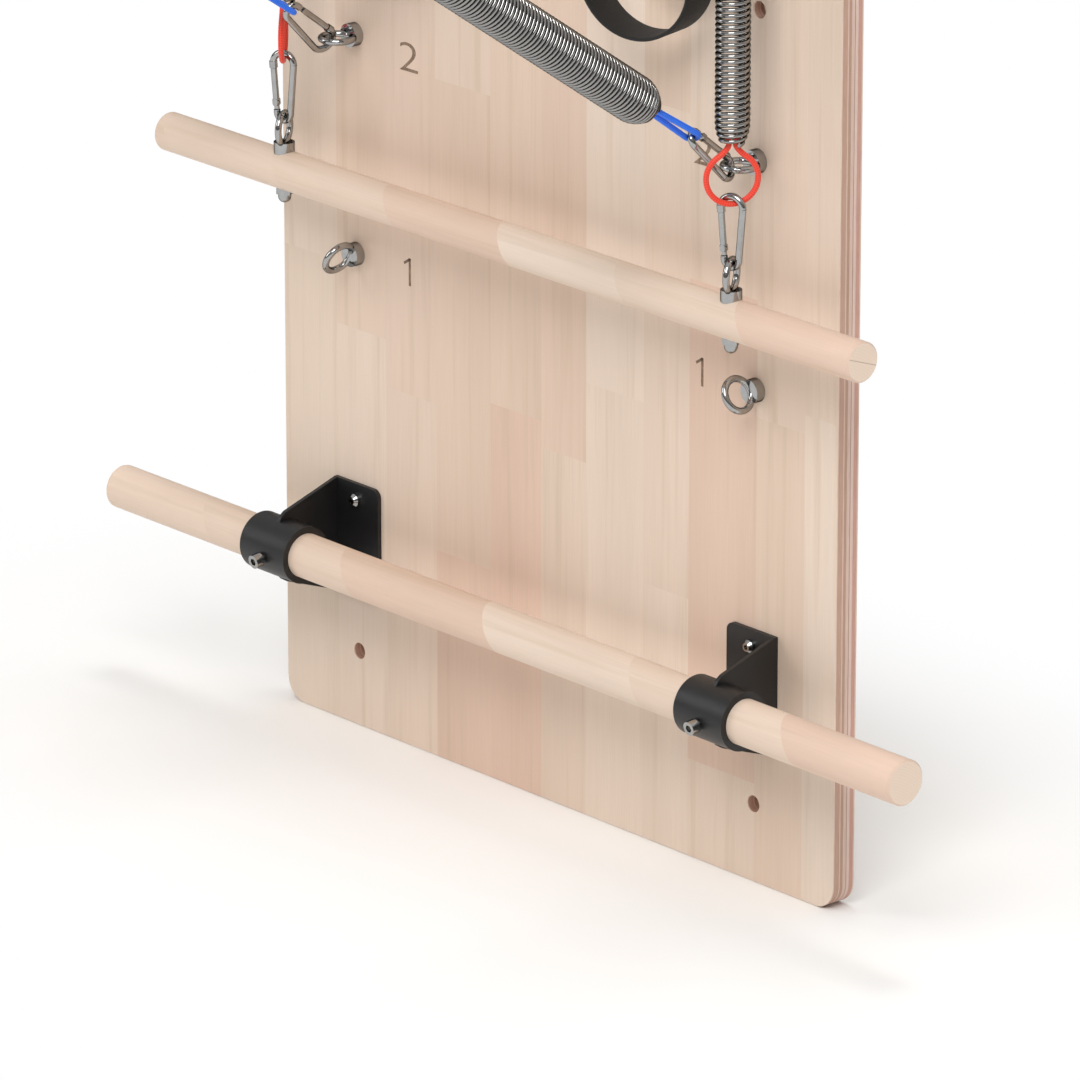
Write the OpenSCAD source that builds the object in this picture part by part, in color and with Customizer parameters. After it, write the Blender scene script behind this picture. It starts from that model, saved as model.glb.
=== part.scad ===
// Wall tower for spring exercise: a board with eye bolts, a foot bar, a roll-down
// bar on two springs and a push-through bar that two diagonal springs pull on.
// X runs across the board, Y points into the wall and Z up. The origin is the
// middle of the board's bottom edge, halfway through its thickness.

/* [Board] */
// Width of the board
board_w = 720; // [715:5:800]
// Height of the board
board_h = 2000; // [1980:10:2200]
// Thickness of the board
board_t = 24; // [22:1:30]
// Radius of the board's corners
corner_r = 22; // [10:1:40]
// Distance between the two columns of eye bolts and wall holes
column_gap = 520; // [512:2:524]

/* [Wall holes] */
// Through hole for a wall screw
wall_hole_d = 8.5; // [6:0.5:10]
// Counterbore for the head of a wall screw
wall_head_d = 15; // [13:0.5:18]
// Depth of that counterbore
wall_head_deep = 12; // [6:1:14]
// Height of the lowest pair of wall holes
wall_z1 = 70; // [50:5:85]
// Height of the second pair
wall_z2 = 770; // [755:5:800]
// Height of the third pair
wall_z3 = 1350; // [1335:5:1380]
// From the top pair up to the board's top edge
wall_top = 70; // [50:5:90]

/* [Eye bolts] */
// Height of the lowest eye bolts
eye_z1 = 440; // [425:5:455]
// From the top row of eye bolts up to the board's top edge
eye_top = 160; // [140:5:180]
// Number of rows, evenly spaced
eye_rows = 8; // [8:1:9]
// Diameter of the boss on the board's face
eye_boss_d = 21; // [19:0.5:24]
// Height of the boss
eye_boss_l = 9; // [8:0.5:10]
// From the boss to the centre of the ring
eye_reach = 12; // [11:0.5:13]
// Thickness of a ring's wire
ring_wire = 6; // [5:0.25:6]
// Radius of a ring, to the middle of its wire
ring_r = 14; // [13.5:0.25:14.5]
// Diameter of the bolt through the board
eye_shank_d = 10; // [8:0.5:12]
// How far the lowest pair of rings leans towards the middle, from upright
ring_lean = 27; // [0:1:40]
// Width across the flats of the nut
eye_nut_af = 17; // [16:0.5:19]
// Height of the nut
eye_nut_h = 8; // [6:0.5:8]
// Pocket for the nut in the back of the board
nut_pocket_d = 26; // [24:1:30]
// Depth of that pocket
nut_pocket_deep = 9; // [8.5:0.25:10]

/* [Foot bar] */
// Diameter of the foot bar
foot_d = 40; // [36:0.5:42]
// Length of the foot bar
foot_l = 1030; // [960:10:1100]
// Height of its axis
foot_z = 175; // [165:1:185]
// From the board's face to its axis
foot_out = 64; // [61:1:70]
// Distance from the middle to a collar
collar_x = 287; // [280:1:300]
// Length of a collar
collar_l = 60; // [50:1:70]
// Wall of a collar
collar_wall = 5.8; // [4:0.2:8]

/* [Brackets] */
// Thickness of the bracket steel
steel_t = 4; // [3:0.5:5]
// Height of a foot bar bracket
foot_plate_h = 106; // [100:1:120]
// Width of a foot bar bracket's plate
foot_plate_w = 60; // [56:1:66]
// Radius of the plate's free corners
plate_corner = 8; // [4:1:12]
// From a plate's top and bottom edge to its screws
plate_screw_in = 15; // [12:0.5:20]
// From the plate's free edge to its screws
plate_screw_side = 30; // [24:0.5:34]
// Diameter of a bracket screw
screw_d = 6; // [5:0.5:6.5]
// Length of a bracket screw under its head
screw_l = 22; // [16:1:23]
// Diameter of its head
screw_head_d = 12; // [10:0.5:13]
// Height of its head
screw_head_h = 5.5; // [4:0.5:6.5]
// Hexagon socket of the screws, across the flats
socket_af = 4; // [3:0.5:5]
// Diameter of a collar's clamp screw
clamp_d = 8; // [6:0.5:9]
// Diameter of its head
clamp_head_d = 12.5; // [11:0.5:14]
// Height of its head
clamp_head_h = 8; // [6:0.5:10]
// How far the clamp screw points below level
clamp_dip = 10; // [0:1:20]

/* [Roll-down bar] */
// Diameter of the roll-down bar
roll_d = 35; // [32:0.5:37]
// Length of the roll-down bar
roll_l = 900; // [840:10:960]
// Distance from the middle to a spring
chain_x = 290; // [286:1:294]
// From the board's face to the hanging springs
chain_out = 57; // [57:1:62]
// Height at which the chains hang from the top brackets
hang_z = 1620; // [1600:5:1630]
// Length of a red spring between its end turns
red_len = 845; // [835:1:855]
// Outer diameter of a red spring
red_d = 30; // [27:0.5:32]
// Outer diameter of its end turn
red_tip_d = 19; // [18:0.5:21]
// Length over which its end narrows
red_taper = 20; // [14:1:30]
// Turns of a red spring
red_turns = 25; // [20:1:26]
// Turn of the lower hooks about the upright
lower_hook_turn = 18; // [14:1:18]
// Turn of the roll-down bar's rings about the upright
bar_ring_turn = -62; // [-66:1:-58]

/* [Bar fittings] */
// Diameter of an eye's boss on a bar
fit_boss_d = 18.5; // [17:0.5:21]
// How far the boss stands off the bar
fit_boss_l = 8; // [7:0.5:9]
// Radius of the eye's ring, to the middle of its wire
fit_ring_r = 13.5; // [13:0.25:14]
// Diameter of the eye's shank
fit_shank_d = 8; // [6:0.5:9]
// Width across the flats of the dome nut
fit_nut_af = 13; // [12:0.5:15]
// Height of the dome nut's hexagon
fit_nut_h = 6.5; // [5:0.5:8]
// Radius of its dome
fit_dome_r = 5.8; // [5:0.1:6]

/* [Snap hooks and cord] */
// Length of a snap hook, wire middle to wire middle
hook_l = 61; // [58:1:64]
// Radius of its wide end, to the middle of the wire
hook_wide_r = 10.5; // [10:0.25:11.5]
// Radius of its narrow end, to the middle of the wire
hook_slim_r = 6.9; // [6.8:0.1:7.2]
// Thickness of a snap hook's wire
hook_wire = 6; // [5.5:0.1:6]
// Thickness of a gate
gate_d = 5.6; // [5:0.1:6]
// Diameter of a gate's pivot pin
gate_pin_d = 2; // [1.6:0.1:2.4]
// Thickness of the tongue that the gate turns on
gate_tongue = 2.4; // [2:0.1:2.8]
// Length of the nose beyond the wide end
gate_nose = 5; // [4:0.5:7]
// How much thicker the nose is than the wire
nose_collar = 1.2; // [1:0.1:1.4]
// From the narrow end to the gate's pivot
gate_pivot = 7; // [6:0.5:9]
// Thickness of the red cord
red_cord = 5; // [4:0.25:5.5]
// Radius of a red loop, to the middle of its cord
red_loop_r = 22; // [20:0.5:24]
// From the middle of a red loop to its drawn-in point
red_loop_h = 25.5; // [25:0.5:28]
// Turn of the lower red loop on the right about the upright
loop_turn_right = 60; // [58:1:80]
// Turn of the lower red loop on the left
loop_turn_left = -45; // [-60:1:-42]
// Thickness of the blue cord
blue_cord = 5.25; // [4.75:0.25:5.25]
// Length of a blue loop from the hook to the spring
blue_loop_l = 53; // [50:1:58]

/* [Blue springs] */
// Outer diameter of a blue spring
blue_d = 41.6; // [38:0.2:44]
// Outer diameter of its end turn
blue_tip_d = 22; // [21:0.5:24]
// Length over which its end narrows
blue_taper = 24; // [16:1:30]
// Turns of a blue spring
blue_turns = 20; // [16:1:20]
// Thickness of the spring wire
spring_wire = 3; // [2.5:0.1:3.2]
// Row of eye bolts that the blue springs clip to
blue_row = 2; // [2:1:2]
// Rise of the hook at the board
near_hook_rise = 42; // [40:1:42]
// Rise of the blue loop at the board
near_loop_rise = 34; // [34:1:36]
// Turn of the right near blue loop and its hook about their own line
near_turn_right = 30; // [0:1:30]
// Turn of the left ones
near_turn_left = -15; // [-30:1:0]

/* [Push-through bar] */
// Height of the push-through bar's pivots
ptb_z = 1393; // [1385:1:1400]
// From the board's face to the pivots
ptb_out = 57; // [55:1:62]
// Distance from the middle to an arm
ptb_x = 335; // [335:1:338]
// Length of an arm, pivot to bar
ptb_arm_l = 650; // [635:5:660]
// Thickness of an arm
ptb_arm_d = 25; // [22:0.5:26]
// Angle of the resting arms below level
ptb_rest = 33; // [31:0.5:34.5]
// Diameter of the push-through bar
ptb_bar_d = 35; // [32:0.5:38]
// Length of the push-through bar
ptb_bar_l = 760; // [720:10:900]
// Length of the collars at the ends of the arms
ptb_collar_l = 36; // [30:1:44]
// Diameter of the pivot pins
ptb_pin_d = 10; // [8:0.5:12]
// Outer diameter of an arm's knuckle
ptb_knuckle_d = 28; // [26:0.5:32]
// From the pivot to the stop, along the arm
ptb_stop_l = 42; // [38:1:46]
// Thickness of the stop bar
ptb_stop_d = 10; // [8:0.5:12]
// Height of a pivot bracket's plate
ptb_plate_h = 150; // [146:2:160]

/* [Spring hangers] */
// Hole that a chain's hook hangs in
hanger_hole_d = 12; // [12:0.5:14]
// Radius of the hanger's rounded end
hanger_tip_r = 12; // [11:0.5:13]
// Height of a hanger's plate
hanger_plate_h = 100; // [90:2:110]
// Width of a hanger's plate
hanger_plate_w = 50; // [46:1:60]

/* [Straps] */
// Distance from the middle to a strap's peg
strap_x = 165; // [155:1:170]
// Height of the pegs
peg_z = 1100; // [1090:1:1110]
// Diameter of a peg
peg_d = 18; // [14:1:22]
// Diameter of a peg's end knob
peg_knob_d = 32; // [28:1:36]
// Width of the webbing
web_w = 38; // [30:1:40]
// Thickness of the webbing
web_t = 3; // [2:0.25:4]
// From the board's face to the middle of the webbing
web_out = 42; // [36:1:44]
// Inner radius of the strap's hanging bend
strap_r = 56; // [48:1:60]
// Height of the strap's lowest point
strap_low = 735; // [720:1:760]

/* [Hidden] */
$fn = 64;

// running clearance of pins, slack of bolts in their holes, and the gap that
// links keep where one hangs in the next
run_fit = 0.05;
bolt_fit = 0.2;
seat = 0.3;
cord_drop = 1;
thin = 0.1;
eps = 0.5;
sides = [-1, 1];

front_y = -board_t / 2;
col_x = column_gap / 2;
foot_y = front_y - foot_out;
chain_y = front_y - chain_out;
ptb_y = front_y - ptb_out;
web_y = front_y - web_out;
ring_y = front_y - eye_boss_l - eye_reach;
eye_step = (board_h - eye_top - eye_z1) / (eye_rows - 1);
wall_z4 = board_h - wall_top;
link_gap = ring_wire / 2 + hook_wire / 2 + seat;

// the hanging chain, from the top bracket down to the roll-down bar
loop_seat = hook_wire / 2 + red_cord / 2 + cord_drop;
tip_rise = red_cord / 2;
top_hook_low = hang_z - hook_l;
top_loop_mid = top_hook_low + loop_seat - red_loop_r;
red_top = top_loop_mid - red_loop_h - tip_rise;
red_low = red_top - red_len;
low_loop_mid = red_low - tip_rise - red_loop_h;
low_hook_top = low_loop_mid - red_loop_r + loop_seat;
low_hook_low = low_hook_top - hook_l;
bar_ring_top = low_hook_low + link_gap;
bar_ring_mid = bar_ring_top - fit_ring_r;
fit_reach = fit_boss_l + eye_reach;
roll_z = bar_ring_mid - roll_d / 2 - fit_reach;

// the diagonal chain in the plane of one column, as [y, z]
function dir(e) = [-cos(e), sin(e)];
ring_tip = [ring_y - ring_r, eye_z1 + (blue_row - 1) * eye_step];
near_top = ring_tip - link_gap * dir(near_hook_rise);
near_low = near_top + hook_l * dir(near_hook_rise);
blue_tip = near_low + (blue_loop_l + 0.5) * dir(near_loop_rise);
ptb_bar = [ptb_y, ptb_z] + ptb_arm_l * dir(-ptb_rest);
blue_way = ptb_bar - blue_tip;
blue_rise = atan2(blue_way[1], -blue_way[0]);
far_ring = ptb_bar - (ptb_bar_d / 2 + fit_reach) * dir(blue_rise);
far_top = far_ring - (fit_ring_r - link_gap) * dir(blue_rise);
far_low = far_top - hook_l * dir(blue_rise);
blue_end = far_low - (blue_loop_l + 0.5) * dir(blue_rise);
blue_len = norm(blue_end - blue_tip);

// Basic shapes

module rod_x(d, l) {
    rotate([0, 90, 0]) cylinder(d = d, h = l, center = true);
}

// a bar along X with eased ends
module bar_x(d, l, ease = 1.5) {
    rotate([0, 90, 0]) {
        cylinder(d = d, h = l - 2 * ease, center = true);
        for (s = sides)
            rotate([s > 0 ? 0 : 180, 0, 0])
                translate([0, 0, l / 2 - ease])
                    cylinder(d1 = d, d2 = d - 2 * ease, h = ease);
    }
}

// a rod between two points of the XZ plane
module rod_xz(a, b, d) {
    v = b - a;
    translate([a[0], 0, a[1]])
        rotate([0, atan2(v[0], v[1]), 0]) cylinder(d = d, h = norm(v));
}

module ring(r, wire) {
    rotate_extrude() translate([r, 0]) circle(d = wire, $fn = 32);
}

// a round wire bent to an arc in the XZ plane, angles from +X towards +Z
module arc_xz(r, wire, a0, a1) {
    rotate([90, 0, 0])
        rotate([0, 0, a0])
            rotate_extrude(angle = a1 - a0)
                translate([r, 0]) circle(d = wire, $fn = 32);
}

module hex(af, h) {
    cylinder(d = af / cos(30), h = h, $fn = 6);
}

// Board and eye bolts

module board_outline() {
    w = board_w / 2 - corner_r;
    h = board_h - corner_r;
    translate([-w, 0]) square([2 * w, board_h]);
    translate([-board_w / 2, corner_r]) square([board_w, board_h - 2 * corner_r]);
    for (x = [-w, w], z = [corner_r, h]) translate([x, z]) circle(r = corner_r);
}

module hole_y(x, z, d, from, to) {
    translate([x, to, z]) rotate([90, 0, 0]) cylinder(d = d, h = to - from);
}

function eye_z(k) = eye_z1 + k * eye_step;
function screw_spots(x, z, h, off) =
    [for (s = sides, t = sides) [s * (x + off), z + t * (h / 2 - plate_screw_in)]];
foot_screws = screw_spots(collar_x + steel_t / 2, foot_z, foot_plate_h,
    -plate_screw_side);
hanger_screws = screw_spots(chain_x, hang_z + hanger_plate_h / 2 - hanger_tip_r,
    hanger_plate_h, hanger_plate_w - plate_screw_side + steel_t);
ptb_screws = screw_spots(ptb_x, ptb_z, ptb_plate_h, 0);

module board() {
    color("burlywood") difference() {
        rotate([90, 0, 0])
            linear_extrude(height = board_t, center = true) board_outline();
        for (s = sides) {
            for (z = [wall_z1, wall_z2, wall_z3, wall_z4]) {
                hole_y(s * col_x, z, wall_hole_d, -board_t, board_t);
                hole_y(s * col_x, z, wall_head_d, -board_t, front_y + wall_head_deep);
            }
            for (k = [0:eye_rows - 1]) {
                hole_y(s * col_x, eye_z(k), eye_shank_d + bolt_fit, -board_t, board_t);
                hole_y(s * col_x, eye_z(k), nut_pocket_d,
                    -front_y - nut_pocket_deep, board_t);
            }
        }
        for (p = concat(foot_screws, hanger_screws, ptb_screws))
            hole_y(p[0], p[1], screw_d + bolt_fit,
                -board_t, front_y - steel_t + screw_l + seat);
    }
}

// An eye bolt that points out of the board; its ring turns about the bolt.
module eye_bolt(turn) {
    rotate([90, 0, 0]) {
        cylinder(d = eye_boss_d, h = eye_boss_l);
        translate([0, 0, -board_t + eps]) cylinder(d = eye_shank_d, h = board_t);
    }
    translate([0, -eye_boss_l - eye_reach, 0])
        rotate([0, -turn, 0]) ring(ring_r, ring_wire);
}

module eye_bolt_column(s) {
    for (k = [0:eye_rows - 1])
        translate([s * col_x, front_y, eye_z(k)])
            eye_bolt(k == 0 ? 90 + s * ring_lean : k == blue_row - 1 ? 0 : 90);
}

module eye_bolts_left() {
    color("silver") eye_bolt_column(-1);
}

module eye_bolts_right() {
    color("silver") eye_bolt_column(1);
}

module eye_nuts() {
    color("silver")
        for (s = sides, k = [0:eye_rows - 1])
            translate([s * col_x, -front_y - nut_pocket_deep, eye_z(k)])
                rotate([-90, 0, 0]) difference() {
                    hex(eye_nut_af, eye_nut_h);
                    translate([0, 0, -1])
                        cylinder(d = eye_shank_d + 2 * thin, h = eye_nut_h + 2);
                }
}

// Foot bar

module foot_bar() {
    color("wheat") translate([0, foot_y, foot_z]) bar_x(foot_d, foot_l);
}

// a plate against the board, from x0 to x1, with two round corners at x0
module wall_plate(x0, x1, z0, z1, x_spots, z_spots) {
    dx = x1 > x0 ? plate_corner : -plate_corner;
    translate([0, front_y, 0]) rotate([90, 0, 0])
        linear_extrude(height = steel_t) difference() {
            union() {
                for (z = [z0 + plate_corner, z1 - plate_corner])
                    translate([x0 + dx, z]) circle(r = plate_corner);
                polygon([[x0 + dx, z0], [x1, z0], [x1, z1], [x0 + dx, z1]]);
                polygon([[x0, z0 + plate_corner], [x1, z0 + plate_corner],
                    [x1, z1 - plate_corner], [x0, z1 - plate_corner]]);
            }
            for (x = x_spots, z = z_spots)
                translate([x, z]) circle(d = screw_d + 2 * bolt_fit);
        }
}

// a web that stands off the board in a YZ plane; points are [distance out, z]
module web_yz(x, t, pts) {
    translate([x - t / 2, front_y, 0])
        rotate([90, 0, 90])
            linear_extrude(height = t) polygon([for (p = pts) [-p[0], p[1]]]);
}

module foot_bracket(s) {
    r = foot_d / 2 + bolt_fit + collar_wall;
    h = foot_plate_h / 2;
    x1 = collar_x + steel_t / 2;
    color("dimgray") difference() {
        union() {
            wall_plate(s * (x1 - foot_plate_w), s * x1, foot_z - h, foot_z + h,
                [s * (x1 - plate_screw_side)],
                [foot_z - h + plate_screw_in, foot_z + h - plate_screw_in]);
            web_yz(s * collar_x, steel_t, [
                [0, foot_z + h], [3, foot_z + h],
                [foot_out - 1, foot_z + r + 7], [foot_out + 4, foot_z + r + 3],
                [foot_out + r / 3, foot_z + r - 4], [foot_out + r / 3, foot_z - r + 4],
                [foot_out + 3, foot_z - r - 3], [foot_out - 2, foot_z - r - 6],
                [4, foot_z - h], [0, foot_z - h]]);
            translate([s * collar_x, foot_y, foot_z]) rod_x(2 * r, collar_l);
        }
        translate([s * collar_x, foot_y, foot_z])
            rod_x(foot_d + 2 * bolt_fit, collar_l + 2);
        translate([s * collar_x, foot_y, foot_z]) rotate([90 + clamp_dip, 0, 0])
            cylinder(d = clamp_d + 2 * thin, h = 2 * r);
    }
}

module foot_bracket_left() {
    foot_bracket(-1);
}

module foot_bracket_right() {
    foot_bracket(1);
}

// a button-head screw whose head stands on a plate's front
module plate_screw() {
    rotate([90, 0, 0]) difference() {
        union() {
            translate([0, 0, steel_t - screw_l]) cylinder(d = screw_d, h = screw_l);
            translate([0, 0, steel_t]) cylinder(d = screw_head_d, h = screw_head_h * 0.5);
            translate([0, 0, steel_t + screw_head_h * 0.5])
                cylinder(d1 = screw_head_d, d2 = screw_head_d * 0.62,
                    h = screw_head_h * 0.5);
        }
        translate([0, 0, steel_t + screw_head_h * 0.4]) hex(socket_af, screw_head_h);
    }
}

module bracket_screws() {
    color("silver")
        for (p = foot_screws) translate([p[0], front_y, p[1]]) plate_screw();
}

module clamp_screws() {
    r = foot_d / 2 + bolt_fit + collar_wall;
    color("gray")
        for (s = sides)
            translate([s * collar_x, foot_y, foot_z])
                rotate([90 + clamp_dip, 0, 0]) difference() {
                    union() {
                        translate([0, 0, foot_d / 2 + thin])
                            cylinder(d = clamp_d, h = r - foot_d / 2 + 3);
                        translate([0, 0, r + 2]) cylinder(d = clamp_head_d,
                            h = clamp_head_h);
                    }
                    translate([0, 0, r + 2 + clamp_head_h * 0.4])
                        hex(socket_af + 2, clamp_head_h);
                }
}

// Fittings of the two hand bars: Z points from the bar's axis to the ring.

module bar_eye(bar_d) {
    difference() {
        cylinder(d = fit_boss_d, h = bar_d / 2 + fit_boss_l);
        rod_x(bar_d + 2 * thin, fit_boss_d + 2);
    }
    translate([0, 0, bar_d / 2 + fit_reach])
        rotate([90, 0, 0]) ring(fit_ring_r, ring_wire);
}

module bar_eye_shank(bar_d) {
    translate([0, 0, -bar_d / 2 - fit_nut_h])
        cylinder(d = fit_shank_d, h = bar_d + fit_nut_h + fit_boss_l / 2);
}

nut_flat = 1.9;
module dome_nut(bar_d) {
    translate([0, 0, -bar_d / 2 + nut_flat - 0.02]) mirror([0, 0, 1]) difference() {
        union() {
            hex(fit_nut_af, fit_nut_h);
            cylinder(r = fit_dome_r, h = fit_nut_h + 2);
            translate([0, 0, fit_nut_h + 2]) intersection() {
                sphere(r = fit_dome_r);
                cylinder(r = fit_dome_r + 1, h = fit_dome_r + 1);
            }
        }
        translate([0, 0, -1])
            cylinder(d = fit_shank_d + 2 * thin, h = fit_nut_h + nut_flat + 1.5);
    }
}

module bar_bore(bar_d) {
    cylinder(d = fit_shank_d + bolt_fit, h = 2 * bar_d, center = true);
    translate([0, 0, -bar_d]) cylinder(d = fit_nut_af / cos(30) + 1,
        h = bar_d / 2 + nut_flat);
}

module at_roll(s) {
    translate([s * chain_x, chain_y, roll_z]) rotate([0, 0, bar_ring_turn]) children();
}

module roll_down_bar() {
    color("wheat") difference() {
        translate([0, chain_y, roll_z]) bar_x(roll_d, roll_l);
        for (s = sides) at_roll(s) bar_bore(roll_d);
    }
}

module roll_eye(s) {
    color("silver") union() {
        translate([s * chain_x, chain_y, roll_z]) difference() {
            cylinder(d = fit_boss_d, h = roll_d / 2 + fit_boss_l);
            rod_x(roll_d + 2 * thin, fit_boss_d + 2);
        }
        at_roll(s) {
            translate([0, 0, roll_d / 2 + fit_reach])
                rotate([90, 0, 0]) ring(fit_ring_r, ring_wire);
            bar_eye_shank(roll_d);
        }
    }
}

module bar_eye_left() {
    roll_eye(-1);
}

module bar_eye_right() {
    roll_eye(1);
}

module bar_dome_nuts() {
    color("silver") for (s = sides) at_roll(s) dome_nut(roll_d);
}

// Springs: one unbroken wire that narrows towards both ends

function coil_r(z, l, r, tip, taper) =
    tip + (r - tip) * min(1, max(0, min(z, l - z)) / taper);
// height after w turns: the first and last turn are wound close, at the step e
function coil_z(w, l, turns, e) =
    w < 1 ? e * w :
    w > turns - 1 ? l - e * (turns - w) :
    e + (w - 1) * (l - 2 * e) / (turns - 2);
function coil_at(i, n, l, turns, r, tip, taper, e) =
    let (w = turns * i / n, z = coil_z(w, l, turns, e),
        q = coil_r(z, l, r, tip, taper))
    [q * cos(360 * w), q * sin(360 * w), z];
function unit(v) = v / norm(v);

module spring(l, d, tip_d, taper, wire, turns, name) {
    n = 8 * turns;
    r = d / 2 - wire / 2;
    tip = tip_d / 2 - wire / 2;
    mid = [for (i = [0:n]) coil_at(i, n, l, turns, r, tip, taper, wire + 1)];
    way = [for (i = [0:n]) unit(mid[min(n, i + 1)] - mid[max(0, i - 1)])];
    // straight ends, one wire diameter long
    spine = concat([mid[0] - wire * way[0]], mid, [mid[n] + wire * way[n]]);
    tang = concat([way[0]], way, [way[n]]);
    out = concat([mid[0]], mid, [mid[n]]);
    m = n + 3;
    pts = [for (i = [0:m - 1])
        let (t = tang[i], u0 = [out[i][0], out[i][1], 0],
            u = unit(u0 - (u0 * t) * t), b = cross(t, u))
        for (k = [0:5]) spine[i] + wire / 2 * (cos(60 * k) * u + sin(60 * k) * b)];
    faces = concat(
        [for (k = [1:4]) [0, k, k + 1]],
        [for (i = [0:m - 2], k = [0:5]) let (a = 6 * i + k, b = 6 * i + (k + 1) % 6)
            [a, a + 6, b]],
        [for (i = [0:m - 2], k = [0:5]) let (a = 6 * i + k, b = 6 * i + (k + 1) % 6)
            [b, a + 6, b + 6]],
        [for (k = [1:4]) [6 * (m - 1), 6 * (m - 1) + k + 1, 6 * (m - 1) + k]]);
    gap = min([for (i = [0:n - 6], j = [i + 6:min(n, i + 18)]) norm(mid[i] - mid[j])]);
    echo(str(name, " least gap"), gap - wire);
    polyhedron(points = pts, faces = faces, convexity = 10);
}

module red_spring(s) {
    color("silver") translate([s * chain_x, chain_y, red_low])
        spring(red_len, red_d, red_tip_d, red_taper, spring_wire, red_turns, "red");
}

module red_spring_left() {
    red_spring(-1);
}

module red_spring_right() {
    red_spring(1);
}

module blue_spring(s) {
    color("silver") translate([s * col_x, blue_tip[0], blue_tip[1]])
        rotate([90 - blue_rise, 0, 0])
            spring(blue_len, blue_d, blue_tip_d, blue_taper, spring_wire, blue_turns,
                "blue");
}

module blue_spring_left() {
    blue_spring(-1);
}

module blue_spring_right() {
    blue_spring(1);
}

// Cord loops. The two strands go in through the spring's end turn, and each ends
// in a knot that is just too wide to pull out again.

// A loop of radius r about the origin, its strands brought together at height l.
// The spring's end turn lies a little above that, by the given rise.
module cord_loop(r, d, l, rise, tip_d) {
    low = d / 2 + thin;
    knot_r = (tip_d / 2 - spring_wire) / 2;
    knot_x = knot_r + thin + 0.05;
    a = atan2(l, low) - acos(r / norm([low, l]));
    z = l + rise;
    strand = [[knot_x, z + 7.5], [knot_x, z + 6.5], [knot_x, z + 2.5], [low, z],
        [low, l + 0.4]];
    bend = [for (i = [0:24]) let (t = a - (180 + 2 * a) * i / 24) r * [cos(t), sin(t)]];
    back = [for (i = [4:-1:0]) [-strand[i][0], strand[i][1]]];
    thick = [0.5 * knot_r, knot_r, knot_r, d / 2, d / 2];
    path = concat(strand, bend, back);
    rad = concat(thick, [for (p = bend) d / 2], [for (i = [4:-1:0]) thick[i]]);
    m = len(path);
    pts = [for (i = [0:m - 1])
        let (v = path[min(m - 1, i + 1)] - path[max(0, i - 1)], u = v / norm(v))
        for (k = [0:7]) [path[i][0] - rad[i] * cos(45 * k) * u[1],
            rad[i] * sin(45 * k), path[i][1] + rad[i] * cos(45 * k) * u[0]]];
    faces = concat(
        [for (k = [1:6]) [0, k + 1, k]],
        [for (i = [0:m - 2], k = [0:7]) let (p = 8 * i + k, q = 8 * i + (k + 1) % 8)
            [p, q, p + 8]],
        [for (i = [0:m - 2], k = [0:7]) let (p = 8 * i + k, q = 8 * i + (k + 1) % 8)
            [q, q + 8, p + 8]],
        [for (k = [1:6]) [8 * (m - 1), 8 * (m - 1) + k, 8 * (m - 1) + k + 1]]);
    polyhedron(points = pts, faces = faces, convexity = 6);
}

// a red loop about its own middle, drawn to a point at the top
module red_loop() {
    color("tomato") cord_loop(red_loop_r, red_cord, red_loop_h, tip_rise, red_tip_d);
}

module red_loops_upper() {
    for (s = sides)
        translate([s * chain_x, chain_y, top_loop_mid])
            rotate([0, 0, 90]) mirror([0, 0, 1]) red_loop();
}

module red_loops_lower() {
    for (s = sides)
        translate([s * chain_x, chain_y, low_loop_mid])
            rotate([0, 0, s > 0 ? loop_turn_right : loop_turn_left]) red_loop();
}

// a blue loop round the wire of a hook at the origin, its knots up the Z axis
module blue_loop() {
    color("royalblue") cord_loop(hook_wire / 2 + blue_cord / 2 + seat, blue_cord,
        blue_loop_l, 0.5, blue_tip_d);
}

function near_turn(s) = s > 0 ? near_turn_right : near_turn_left;

module blue_loops_near() {
    for (s = sides)
        translate([s * col_x, near_low[0], near_low[1]])
            rotate([90 - near_loop_rise, 0, 0]) rotate([0, 0, near_turn(s)]) blue_loop();
}

module blue_loops_far() {
    for (s = sides)
        translate([s * col_x, far_low[0], far_low[1]])
            rotate([-90 - blue_rise, 0, 0]) blue_loop();
}

// Snap hooks lie in the XZ plane, the wide end at the origin, the gate at -X.

hook_tilt = asin((hook_wide_r - hook_slim_r) / (hook_l - hook_wide_r - hook_slim_r));
hook_side = [cos(hook_tilt), sin(hook_tilt)];
slim_mid = [0, hook_slim_r - hook_l];
wide_mid = [0, -hook_wide_r];
gate_low = slim_mid + hook_slim_r * [-hook_side[0], hook_side[1]];
gate_way = [-hook_side[1], hook_side[0]];
gate_high = wide_mid + hook_wide_r * [-hook_side[0], hook_side[1]];
gate_axis = gate_low + gate_pivot * gate_way;
gate_end = gate_high - gate_nose * gate_way;
eye_d = 5;

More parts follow.
